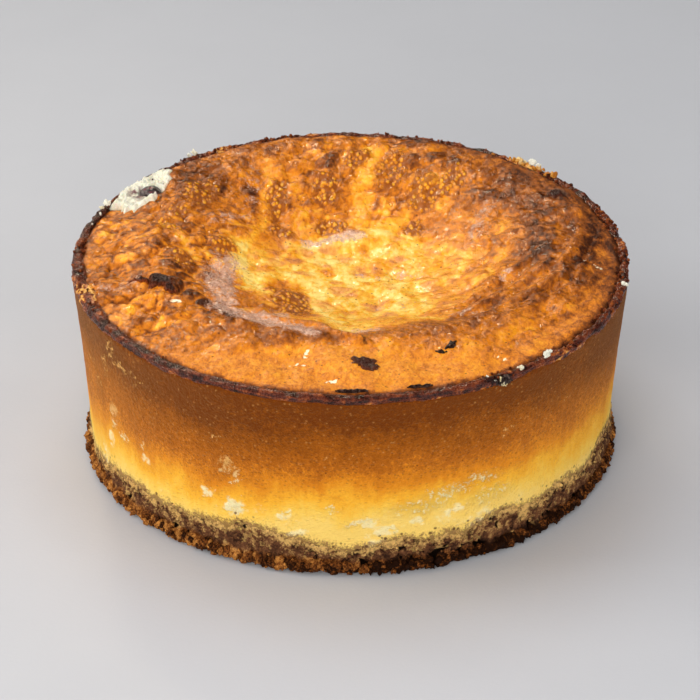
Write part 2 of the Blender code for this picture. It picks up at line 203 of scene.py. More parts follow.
# Scars in the wall: bearing, height, half width and half height, how pale, how rough
SCARS = (
    (-57, 66, 1.6, 5.5, 0.55, 1.0), (-54, 61.5, 5.0, 2.0, 0.6, 1.0), (-47, 59.5, 4.0, 1.6, 0.45, 0.8),
    (-61, 56, 2.2, 6.5, 0.5, 0.9), (-70, 52, 4.0, 3.0, 0.35, 0.7), (-60, 38, 2.4, 3.2, 0.8, 0.8),
    (-60, 32, 2.2, 3.0, 0.6, 0.8), (-56, 30, 3.5, 1.6, 0.5, 0.6), (-66, 44, 3.0, 4.0, 0.35, 0.6),
    (-26, 39, 1.8, 4.2, 0.75, 1.0), (-24, 35, 1.3, 3.2, 0.75, 0.9), (-49, 31.5, 1.2, 2.2, 0.6, 0.4),
    (-27.5, 50, 2.6, 1.2, 0.5, 0.2), (-33, 49.5, 1.6, 0.8, 0.3, 0.2), (-5, 48, 0.9, 0.9, 0.4, 0.2),
    (8, 53.5, 0.8, 0.9, 0.5, 0.4), (0.5, 49, 1.2, 0.7, 0.35, 0.2), (26, 48.5, 0.9, 0.9, 0.4, 0.2),
    (33, 50, 1.3, 3.0, 0.45, 0.3), (50, 52.5, 1.1, 1.6, 0.4, 0.2), (-31, 26, 2.0, 2.4, 0.8, 0.4),
    (-25, 22.5, 3.0, 4.2, 1.0, 0.6), (-14, 23, 1.4, 1.2, 0.6, 0.3), (-3.5, 27, 2.0, 1.6, 0.6, 0.8),
    (3, 22, 1.4, 1.3, 0.7, 0.9), (0, 20, 1.4, 1.6, 0.5, 0.9), (28, 33, 5.0, 3.6, 0.6, 1.0),
    (20, 30, 7.0, 4.0, 0.5, 1.0), (14, 26, 8.0, 4.0, 0.4, 1.0), (30, 25, 7.0, 4.5, 0.35, 0.8),
)
# Curds of white cheese over the biscuit: bearing, height, half width and half height
CURDS = (
    (-31, 26, 2.2, 2.6), (-24.5, 22.5, 3.4, 4.6), (-14, 22, 1.8, 1.6), (3, 21, 3.0, 2.6), (7, 17, 3.5, 2.6),
    (-11, 16, 2.6, 1.8), (14, 20, 3.0, 2.0), (-48, 27, 1.6, 2.6), (22, 22, 3.0, 2.4), (-62, 24, 1.6, 4.5),
)
# Where the biscuit reaches higher or lower in the wall: bearing, half width, height
BISCUIT_SWELLS = (
    (-75, 9, -5.5), (-21, 8, 4.0), (0, 6, -3.0), (33, 6, 3.8), (50, 6, 3.2), (71, 7, 6.0), (118, 10, 3.4),
    (160, 12, -2.6), (-128, 11, 3.6),
)
# Dark spots in the wall: bearing, height, half width and half height
DARK_SPOTS = ((3.5, 62.5, 1.3, 1.1), (67, 58.5, 1.0, 0.8), (-33.5, 61, 0.6, 0.5), (-22, 43, 0.8, 0.5))
# Gaps between the foot and the crumb above it: bearing, half width, how deep
FOOT_GAPS = ((35, 3.2, 1.0), (12, 2.0, 0.8), (-7, 3.0, 0.8), (-42, 4.0, 0.7), (58, 4.0, 0.6))
# The darkest stretch of the foot, partly darker baking and partly painted shade where the foot meets the
# ground: bearing, half width, how dark
DARK_FOOT = (33, 36, 0.8)
# The rim all round: bearing, half width, height, how craggy
RIM_STRETCHES = (
    (-180, 1.9, 1.8, 0.75), (-150, 2.2, 2.0, 0.80), (-138, 1.5, 1.4, 0.60), (-124, 0.9, 0.5, 0.35),
    (-108, 1.1, 1.0, 0.55), (-95, 1.2, 1.2, 0.70), (-86, 2.2, 1.6, 0.90), (-72, 2.5, 1.7, 0.90),
    (-62, 2.0, 1.6, 0.60), (-40, 1.7, 1.4, 0.35), (-15, 1.6, 1.3, 0.20), (20, 1.5, 1.2, 0.30),
    (45, 1.3, 1.1, 0.55), (65, 1.2, 1.1, 0.80), (90, 1.2, 1.1, 0.95), (130, 1.6, 1.3, 0.60),
    (160, 1.8, 1.6, 0.65),
)
# Golden stretches of the rim: bearing, half width, how golden
GOLDEN_PATCHES = ((-74, 5, 0.9), (-150, 5, 0.7), (137, 8, 0.6), (-171, 4, 0.5), (95, 3, 0.4), (47, 5, 0.4))
# Charred flakes: place, half sizes, turn, rise, how red their edges are, how brown they are
CHARRED_FLAKES = (
    ((-67, -25), (4.6, 3.4), -28, 1.9, 0.5, 0.35), ((-74, -22.5), (4.6, 1.1), -20, 0.8, 1.0, 0.6),
    ((-63.5, -30), (2.6, 1.5), -35, 0.7, 0.9, 0.6), ((4.8, -78.6), (5.0, 3.2), -14, 0.6, 0.3, 1.0),
    ((34.5, -67.5), (2.6, 1.3), 35, 0.7, 0.0, 0.0), ((31, -70.8), (2.0, 0.8), -10, 0.5, 0.0, 0.0),
    ((52, -84.5), (3.6, 1.9), 30, 0.8, 0.0, 0.1), ((47, -87), (2.6, 1.4), 10, 0.6, 0.0, 0.1),
    ((0.5, -95.6), (4.2, 0.4), -2, 0.3, 0.0, 0.2), ((23.4, -92.2), (3.8, 0.35), 14, 0.3, 0.0, 0.2),
    ((76, 44), (2.6, 3.2), 10, 0.5, 0.3, 0.6),
)
# White crumbs on the lip: bearing, radius, height, size
PALE_CRUMBS = (
    (31.2, 99.8, 71.3, 1.7), (29.4, 99.6, 72.2, 0.7), (35.6, 99.2, 73.7, 1.1), (42.8, 98.6, 74.0, 1.2),
    (43.9, 98.2, 74.2, 0.8), (77.3, 99.6, 73.4, 1.3), (78.4, 99.6, 72.2, 0.8), (28.0, 98.6, 74.2, 0.4),
    (-143.2, 99.6, 75.2, 1.2), (-141.6, 99.4, 75.0, 0.8), (-113.4, 98.6, 74.6, 1.1),
    (-111.0, 98.6, 74.6, 0.7), (-108.6, 97.5, 74.4, 0.5), (136.0, 99.2, 75.2, 1.3),
    (134.2, 99.4, 75.0, 0.9), (-103.5, 97.5, 74.4, 0.35),
)
# Golden crumbs at the back of the lip: bearing, spread, number
GOLDEN_CLUSTER = (137, 5.0, 34)

# Millimetres that a bearing of one radian takes up in the streaks of the skin
SWEEP = 60.0
# The skin's hidden skirt, ring by ring: share of its radius, height
SKIN_HEMS = ((0.975, 68.5), (0.94, 62.0), (0.92, 50.0))
# The wall's lowest and highest points, its hidden inner radius, and where it starts and ends its flare
WALL_LOW, WALL_HIGH, WALL_INSIDE = 7.0, 72.0, 88.0
FLARE_LOW, FLARE_HIGH = 14.3, 68.9
# Top of the biscuit piece, and the crevice over its foot
BISCUIT_HIGH = 20.0
CREVICE_LOW, CREVICE_HIGH = 4.2, 6.2
# No crag reaches past these
OUTER_LIMIT, LOWER_LIMIT, UPPER_LIMIT = 101.2, 0.05, 78.2

# The stage, in metres. Lamps: name, place, size, power, colour, whether it only gives glints
FLOOR_HALF, FLOOR_LEVEL = 6.0, -0.0003
LAMP_AIM = (0, 0, 0.04)
ROOM_COLOUR, ROOM_STRENGTH = (0.93, 0.96, 1.0, 1), 0.40
LAMPS = (
    ("overhead", (-0.15, 0.55, 1.40), 0.9, 8.5, (1.0, 1.0, 1.0), False),
    ("left_key", (-1.35, 0.05, 0.75), 0.8, 11, (1.0, 0.98, 0.95), False),
    ("front_fill", (-0.35, -1.60, 0.80), 1.1, 20.5, (1.0, 0.99, 0.97), False),
    ("right_fill", (1.50, -0.80, 0.70), 1.0, 7.5, (1.0, 0.99, 0.97), False),
    ("back_glint", (-0.30, 0.95, 0.80), 0.14, 6, (1.0, 0.86, 0.64), True),
    ("left_glint", (-0.95, 0.65, 0.75), 0.14, 4.5, (1.0, 0.86, 0.64), True),
    ("front_glint", (-0.70, -1.00, 1.00), 0.14, 1.8, (1.0, 0.86, 0.64), True),
)
# The camera: sensor width in millimetres, shift in pixels, height of what it looks at
SENSOR_WIDTH = 36
CAMERA_SHIFT = (-0.51, -1.94)
CAMERA_AIM = 35 * MM


# Lengths, fields and noise

def smooth(low, high, value):
    """0 below low, 1 above high, and an even S between them."""
    share = np.clip((value - low) / (high - low), 0, 1)
    return share * share * (3 - 2 * share)


def bell(offset, width=1.0):
    """1 at no offset, falling away evenly on both sides."""
    return np.exp(-((offset / width) ** 2))


def waver(points, size, seed):
    """Even noise from about -1 to 1 at each point, with swells about as wide as size."""
    shift = Vector((seed, 2.7 * seed, 1.3 * seed))
    share = 1 / size
    return np.array([noise.noise(Vector(point) * share + shift) for point in points.tolist()])


def cell_edges(points, size, seed):
    """Distance to the nearest cell's middle, to the wall between cells, and a tone of each cell's own."""
    shift, share = Vector((seed, 2.7 * seed, 1.3 * seed)), 1 / size
    found = [noise.voronoi(Vector(point) * share + shift) for point in points.tolist()]
    near = np.array([distances[:2] for distances, _ in found])
    tone = np.array([middles[0] for _, middles in found]) @ (12.9898, 78.233, 37.719)
    return near[:, 0], near[:, 1] - near[:, 0], 0.5 + 0.5 * np.sin(41 * tone)


def plan(x, y):
    """Points in the plan, as rows of x, y and 0."""
    return np.column_stack((x, y, np.zeros_like(x)))


def reach_from(x, y, place, half_size, turn):
    """Distance from a place as a share of an oval's half sizes: 1 on the oval's edge."""
    angle = math.radians(turn)
    off_x, off_y = x - place[0], y - place[1]
    across = off_x * math.cos(angle) + off_y * math.sin(angle)
    along = off_y * math.cos(angle) - off_x * math.sin(angle)
    return np.hypot(across / half_size[0], along / half_size[1])


def dish_reach(x, y):
    """0 in the dish's middle, and 1 on the crest of the shoulder round it."""
    off_x, off_y = x - DISH_CENTRE[0], y - DISH_CENTRE[1]
    shares = np.abs(off_x / DISH_REACH[0]) ** DISH_SQUARENESS
    shares = shares + np.abs(off_y / DISH_REACH[1]) ** DISH_SQUARENESS
    reach = shares ** (1 / DISH_SQUARENESS)
    angle = np.arctan2(off_y, off_x)
    from_fold = angle + math.radians(92)
    crest = 0.07 * bell(from_fold, 0.09) - 0.05 * bell(np.abs(from_fold) - 0.28, 0.17)
    crest = crest + 0.022 * np.cos(3 * angle + 0.6) + 0.014 * np.cos(7 * angle + 2.1)
    return reach / (1 + crest * smooth(0.3, 0.9, reach))


def skin_form(x, y):
    """Height of the skin over the ground as the solid has it."""
    flat = plan(x, y)
    reach = dish_reach(x, y)
    sunk = DISH_DEPTH * (0.75 * (1 - smooth(DISH_FLOOR, 1.04, reach)) + 0.25 * (1 - smooth(0.0, 0.85, reach)))
    height = SHOULDER + CREST_SWELL * bell(reach - 1.13, 0.15) - sunk
    for place, half_size, turn, rise in SWELLINGS:
        height += rise * bell(reach_from(x, y, place, half_size, turn))
    height += LUMP * waver(flat, LUMP_SIZE, 3) + 0.6 * LUMP * waver(flat, LUMP_SIZE / 2, 5)
    centre, half_size, turn, spacing, rise = FOLDS
    shown = 1 - smooth(0.5, 1.15, reach_from(x, y, centre, half_size, turn))
    angle = math.radians(turn)
    across = (y - centre[1]) * math.cos(angle) - (x - centre[0]) * math.sin(angle)
    height += rise * shown * np.sin(2 * math.pi * (across / spacing + 0.35 * waver(flat, 30, 7)))
    place, half_size, turn, depth = TEAR
    return height - depth * (1 - smooth(0.7, 1.1, reach_from(x, y, place, half_size, turn)))


# Meshes

def disc_of_squares(radius, squares):
    """Points of an even disc, its faces, and its edge ring in order."""
    side = np.linspace(-1, 1, squares + 1)
    across, along = [grid.ravel() for grid in np.meshgrid(side, side)]
    wide = np.abs(across) >= np.abs(along)
    reach = np.where(wide, across, along)
    other = np.where(wide, along, across)
    share = np.divide(other, reach, out=np.zeros_like(reach), where=np.abs(reach) > 1e-9)
    angle = np.where(wide, math.pi / 4 * share, math.pi / 2 - math.pi / 4 * share)
    count = squares + 1
    index = np.arange(count * count).reshape(count, count)
    corners = (index[:-1, :-1], index[:-1, 1:], index[1:, 1:], index[1:, :-1])
    faces = np.stack([corner.ravel() for corner in corners], axis=1)
    ring = np.concatenate((index[0, :-1], index[:-1, -1], index[-1, :0:-1], index[:0:-1, 0]))
    return radius * reach * np.cos(angle), radius * reach * np.sin(angle), faces, ring


def turned_faces(rows, columns, closed):
    """Faces between rows of points round the cake. A closed section also joins its last row to its first."""
    index = np.arange(rows * columns).reshape(rows, columns)
    following = np.roll(index, -1, axis=0)
    if not closed:
        index, following = index[:-1], following[:-1]
    beside = np.roll(index, -1, axis=1)
    beyond = np.roll(following, -1, axis=1)
    return np.stack([corner.ravel() for corner in (index, beside, beyond, following)], axis=1)


def new_piece(name, points, faces, material, fields=None, caps=()):
    """A mesh object in millimetres' worth of points, with its fields stored point by point."""
    mesh = bpy.data.meshes.new(name)
    mesh.from_pydata((np.asarray(points) * MM).tolist(), [], [*np.asarray(faces).tolist(), *caps])
    for field, values in (fields or {}).items():
        stored = mesh.attributes.new(field, "FLOAT", "POINT")
        stored.data.foreach_set("value", np.ascontiguousarray(values, dtype=np.float32))
    mesh.materials.append(material)
    mesh.shade_smooth()
    piece = bpy.data.objects.new(name, mesh)
    bpy.context.scene.collection.objects.link(piece)
    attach(piece, "root")
    return piece


def ball(subdivisions):
    """Points and faces of an even ball of radius 1."""
    bpy.ops.mesh.primitive_ico_sphere_add(subdivisions=subdivisions, radius=1)
    made = bpy.context.object
    points = np.array([vertex.co for vertex in made.data.vertices])
    faces = np.array([face.vertices for face in made.data.polygons])
    bpy.data.objects.remove(made)
    return points, faces


def crumb_shapes(kinds, subdivisions, raggedness):
    """A few ragged crumbs of radius about 1, to be placed many times."""
    points, faces = ball(subdivisions)
    shapes = []
    for kind in range(kinds):
        swell = 1 + raggedness * waver(points, 0.9, 40 + kind)
        swell += 0.5 * raggedness * waver(points, 0.38, 70 + kind)
        shapes.append(points * swell[:, None])
    return shapes, faces


def scatter(places, sizes, flatness, seed, kinds=9, subdivisions=2, raggedness=0.45):
    """Many crumbs in one mesh, each turned its own way, with a tone of its own."""
    shapes, faces = crumb_shapes(kinds, subdivisions, raggedness)
    draw = np.random.default_rng(seed)
    all_points, all_faces, tones = [], [], []
    for number, (place, size) in enumerate(zip(places, sizes)):
        shape = shapes[number % kinds] * np.array((1, draw.uniform(0.65, 1.0), draw.uniform(flatness, 1.0)))
        turn = np.array(Euler(draw.uniform(0, 2 * math.pi, 3)).to_matrix())
        all_faces.append(faces + number * len(shape))
        all_points.append(shape @ turn.T * size + place)
        tones.append(np.full(len(shape), draw.uniform()))
    return np.concatenate(all_points), np.concatenate(all_faces), np.concatenate(tones)


# Materials

class Shade:
    """A value, colour or vector in a material, so that shader maths reads as an expression."""

    def __init__(self, tree, socket):
        self.tree, self.socket = tree, socket

    def node(self, kind, settings=None, inputs=None, output=0):
        """Adds a node of any type. Its settings are made first, and then its sockets' values or links."""
        made = self.tree.nodes.new(kind)
        for setting, value in (settings or {}).items():
            if setting == "stops":
                ramp = made.color_ramp
                while len(ramp.elements) < len(value):
                    ramp.elements.new(1)
                for element, (position, colour) in zip(ramp.elements, value):
                    element.position = position
                    element.color = (*colour, 1)
            else:
                setattr(made, setting, value)
        for name, value in (inputs or {}).items():
            if isinstance(value, Shade):
                self.tree.links.new(value.socket, made.inputs[name])
            else:
                made.inputs[name].default_value = value
        return Shade(self.tree, made.outputs[output])

    def maths(self, operation, *values):
        return self.node("ShaderNodeMath", {"operation": operation}, dict(enumerate(values)))

    def __add__(self, other):
        return self.maths("ADD", self, other)

    def __mul__(self, other):
        return self.maths("MULTIPLY", self, other)

    def __sub__(self, other):
        return self.maths("SUBTRACT", self, other)

    def __rsub__(self, other):
        return self.maths("SUBTRACT", other, self)

    __radd__ = __add__
    __rmul__ = __mul__

    def between(self, low, high):
        """0 below low, 1 above high, and an even S between them."""
        settings = {"interpolation_type": "SMOOTHSTEP"}
        return self.node("ShaderNodeMapRange", settings, {"Value": self, "From Min": low, "From Max": high})


class Finish:
    """A material being made for one of the cake's surfaces."""

    def __init__(self, name, **constants):
        self.material = bpy.data.materials.new(name)
        self.material.use_nodes = True
        tree = self.material.node_tree
        self.shader = tree.nodes["Principled BSDF"]
        self.start = Shade(tree, None)
        self.place = self.start.node("ShaderNodeTexCoord", output="Object")
        for socket, value in constants.items():
            self.shader.inputs[socket.replace("_", " ")].default_value = value

    def field(self, name):
        """A value stored on the mesh, point by point."""
        return self.start.node("ShaderNodeAttribute", {"attribute_name": name}, output="Fac")

    def fields(self, *names):
        """Several stored values at once."""
        return [self.field(name) for name in names]

    def vectors(self, operation, *values, **named):
        """Vector maths on places."""
        inputs = {**dict(enumerate(values)), **named}
        return self.start.node("ShaderNodeVectorMath", {"operation": operation}, inputs)

    def stretched(self, x, y, z):
        """The place on the cake, stretched along each axis."""
        return self.vectors("MULTIPLY", self.place, (x, y, z))

    def grain(self, size, detail=3, roughness=0.5, distortion=0.0, place=None):
        """Noise from 0 to 1 with grains of a size in millimetres."""
        inputs = {"Vector": place or self.place, "Scale": 1 / (size * MM), "Detail": detail}
        inputs.update({"Roughness": roughness, "Distortion": distortion})
        return self.start.node("ShaderNodeTexNoise", {}, inputs)

    def spots(self, *grain):
        """The same noise with its contrast raised."""
        return self.grain(*grain).between(0.30, 0.70)

    def cells(self, size, feature="F1", place=None):
        """Distance within cells of a size in millimetres: from their middles, or to their edges."""
        inputs = {"Vector": place or self.place, "Scale": 1 / (size * MM)}
        return self.start.node("ShaderNodeTexVoronoi", {"feature": feature}, inputs, output="Distance")

    def ramp(self, value, stops):
        return self.start.node("ShaderNodeValToRGB", {"stops": stops}, {"Fac": value})

    def mixed(self, factor, first, second):
        """One colour over another by a factor."""
        settings = {"data_type": "RGBA", "clamp_factor": True}
        paints = [paint if isinstance(paint, Shade) else (*paint, 1) for paint in (first, second)]
        return self.start.node("ShaderNodeMix", settings, {0: factor, 6: paints[0], 7: paints[1]}, output=2)

    def bump(self, height, distance):
        """Low relief from a height of 0 to 1, as deep as distance in millimetres."""
        inputs = {"Height": height, "Distance": distance * MM, "Strength": 1.0}
        return self.start.node("ShaderNodeBump", {}, inputs)

    def show(self, **outputs):
        """Feeds the shader's sockets and hands the material over."""
        for socket, value in outputs.items():
            self.start.tree.links.new(value.socket, self.shader.inputs[socket.replace("_", " ")])
        return self.material


def paint(red, green, blue):
    """A linear colour from the everyday 0 to 255 one."""
    shares = [value / 255 for value in (red, green, blue)]
    return tuple(s / 12.92 if s <= 0.04045 else ((s + 0.055) / 1.055) ** 2.4 for s in shares)


def colour_property(name, description, rgb):
    return bpy.props.FloatVectorProperty(
        name=name, description=description, subtype="COLOR", size=3, min=0, max=1, default=paint(*rgb)
    )


def length_property(name, description, millimetres):
    return bpy.props.FloatProperty(
        name=name, description=description, subtype="DISTANCE", unit="LENGTH", default=millimetres * MM, min=0
    )


def count_property(name, description, count, least=0):
    return bpy.props.IntProperty(name=name, description=description, default=count, min=least)


class CakeSkinSettings(bpy.types.PropertyGroup):
    """The browned top skin"""

    radius: length_property("Skin radius", "Radius at which the skin runs into the rim", 98.6)
    squares: count_property("Squares", "Squares across the skin", 308, 40)
    cream: colour_property("Cream", "Palest baked cheese in the middle", (252, 214, 114))
    yellow: colour_property("Yellow", "Lightly set skin", (249, 184, 56))
    golden: colour_property("Golden", "Golden skin", (238, 152, 34))
    toasted: colour_property("Toasted", "Toasted orange skin", (214, 122, 28))
    brown: colour_property("Brown", "Browned blisters and folds", (146, 76, 22))
    dark: colour_property("Dark brown", "Darkest baked skin", (68, 30, 12))
    # Partly painted shade: the near-black colour laid into the cracks and folds.
    char: colour_property("Crack", "Inside the cracks", (50, 20, 9))
    # Partly a painted sheen: this whitish colour stands for dried film and for the glare on it.
    film: colour_property("Film", "Whitish dried film", (247, 208, 182))
    torn: colour_property("Torn", "Pale cheese in the scratches", (255, 240, 200))
    dusk: colour_property("Dusk", "Violet-brown spots in the film", (146, 84, 54))


class CakeRimSettings(bpy.types.PropertyGroup):
    """The caramelised rim and its crumbs"""

    radius: length_property("Rim radius", "Radius of the lip's outer edge", 100.4)
    drop: length_property("Rim drop", "How far the rim runs down the wall", 2.3)
    crag: length_property("Crags", "How far the crags stand out", 1.25)
    columns: count_property("Columns", "Points round the rim", 1500, 60)
    crumbs: count_property("Crumbs", "Crumbs tried along the rim", 2000)
    char: colour_property("Char", "Darkest part of the rim", (38, 16, 11))
    maroon: colour_property("Maroon", "Sticky dark caramel", (86, 36, 22))
    caramel: colour_property("Caramel", "Caramelised crags", (126, 58, 27))
    toasted: colour_property("Toasted", "Toasted crags", (182, 100, 42))
    golden: colour_property("Golden flake", "Golden flakes on the rim", (236, 172, 78))


class CakeWallSettings(bpy.types.PropertyGroup):
    """The baked wall"""

    top_radius: length_property("Top radius", "Wall radius under the lip", 100.0)
    foot_radius: length_property("Foot radius", "Wall radius above the biscuit", 96.0)
    columns: count_property("Columns", "Points round the wall", 960, 60)
    rows: count_property("Rows", "Points up the wall", 98, 8)
    cream: colour_property("Cream", "Pale cheese low on the wall", (255, 214, 112))
    pale: colour_property("Pale yellow", "Pale band over the cream", (255, 203, 82))
    yellow: colour_property("Yellow", "Yellow band", (253, 182, 52))
    orange: colour_property("Orange", "Orange band", (226, 138, 30))
    amber: colour_property("Amber", "Start of the browned wall", (186, 103, 24))
    brown: colour_property("Brown", "Browned wall", (158, 84, 14))
    deep: colour_property("Deep brown", "Browned wall under the rim", (112, 52, 8))
    flake: colour_property("Flake", "Torn tan flakes in the scars", (240, 180, 102))
    curd: colour_property("Curd", "Cream lumps over the biscuit", (255, 238, 184))
    soaked: colour_property("Soaked crumb", "Dark crumb mixed into the cheese", (84, 52, 34))
    damp: colour_property("Damp crumb", "Lighter crumb mixed into the cheese", (146, 104, 70))


class CakeBiscuitSettings(bpy.types.PropertyGroup):
    """The biscuit base and its crumbs"""

    radius: length_property("Foot radius", "Radius of the crumb foot", 96.4)
    columns: count_property("Columns", "Points round the base", 1150, 60)
    crumb: length_property("Crumb", "Size of a crumb", 2.3)
    crumbs: count_property("Crumbs", "Loose crumbs tried", 2900)
    cheesy: colour_property("Cheesy crumb", "Crumb coated in cheese", (255, 206, 122))
    soaked: colour_property("Soaked crumb", "Grey-brown crumb under the cheese", (134, 86, 56))
    shade: colour_property("Dark soaked crumb", "Darkest crumb under the cheese", (54, 32, 22))
    golden: colour_property("Golden crumb", "Lightest crumb of the foot", (226, 152, 74))
    toasted: colour_property("Toasted crumb", "Orange-brown crumb of the foot", (136, 76, 32))
    dark: colour_property("Dark crumb", "Darkest crumb of the foot", (40, 19, 8))
    # Painted shade: the colour laid into the gaps and holes between crumbs.
    gap: colour_property("Gap", "Dark between the crumbs", (18, 8, 3))


class CakeScrapSettings(bpy.types.PropertyGroup):
    """The torn patch, the berry and the loose scraps"""

    cheese: colour_property("Torn cheese", "Pale cheese in the tear", (255, 250, 230))
    butter: colour_property("Buttery cheese", "Yellower cheese in the tear", (253, 230, 166))
    crust: colour_property("Crust", "Browned edge of the tear", (184, 108, 40))
    gold: colour_property("Gold", "Golden crumbs", (228, 152, 56))
    berry: colour_property("Berry", "Dark berry skin", (40, 26, 28))
    bloom: colour_property("Bloom", "Whitish bloom on the berry", (150, 138, 136))
    juice: colour_property("Juice", "Red stain beside the berry", (112, 40, 52))
    char: colour_property("Char", "Charred flakes", (38, 27, 25))
    ash: colour_property("Ash", "Brown of the less charred flakes", (92, 48, 36))
    # Painted highlight: the greyish colour laid in spots on the black flakes.
    crest: colour_property("Flake crest", "Greyish crests of the black flakes", (150, 122, 108))
    ember: colour_property("Ember", "Reddish edges of the charred flakes", (176, 78, 24))


class CakeStageSettings(bpy.types.PropertyGroup):
    """Floor, light and camera"""

    distance: bpy.props.FloatProperty(
        name="Camera distance", description="From the camera to the cake's middle", default=1.2, unit="LENGTH"
    )
    elevation: bpy.props.FloatProperty(
        name="Camera elevation", description="Above the horizon", subtype="ANGLE", default=math.radians(29.93)
    )
    focal: bpy.props.FloatProperty(
        name="Focal length", description="In pixels of the finished picture", default=3270.2
    )
    floor: colour_property("Floor", "Pale seamless ground", (197, 197, 200))
    # Painted shade: how much of its paleness the ground keeps at the back.
    falloff: bpy.props.FloatProperty(
        name="Falloff", description="Share of its paleness the ground keeps at the back",
        default=0.77, min=0, max=1,
    )


def cake(context):
    """All the settings."""
    return context.scene.baked_cheesecake


# The browned top skin

def oval_share(x, y, place, half_size, turn, inner=0.45, outer=1.25):
    """1 inside an oval and 0 outside it, with a soft edge."""
    return 1 - smooth(inner, outer, reach_from(x, y, place, half_size, turn))


def line_share(x, y, points, half_width, inner=0.2, outer=1.4):
    """1 along a bent line and 0 beside it, with a soft edge."""
    nearest = np.full_like(x, 1000.0)
    for start, end in zip(points[:-1], points[1:]):
        run = np.subtract(end, start)
        along = np.clip(((x - start[0]) * run[0] + (y - start[1]) * run[1]) / (run @ run), 0, 1)
        nearest = np.minimum(nearest, np.hypot(x - start[0] - along * run[0], y - start[1] - along * run[1]))
    return 1 - smooth(inner, outer, nearest / half_width)


def ridges(points, seed):
    """Noise with sharp crests, from about -1 to 1."""
    return 1 - 3.2 * np.abs(waver(points, 1, seed))


def blisters(points, size, seed):
    """Rounded lumps side by side, the creases between them, and each lump's tone, all from 0 to 1."""
    middle, wall, tone = cell_edges(points, size, seed)
    return np.sqrt(np.clip(1 - (middle / 0.8) ** 2, 0, 1)), 1 - smooth(0.0, 0.24, wall), tone


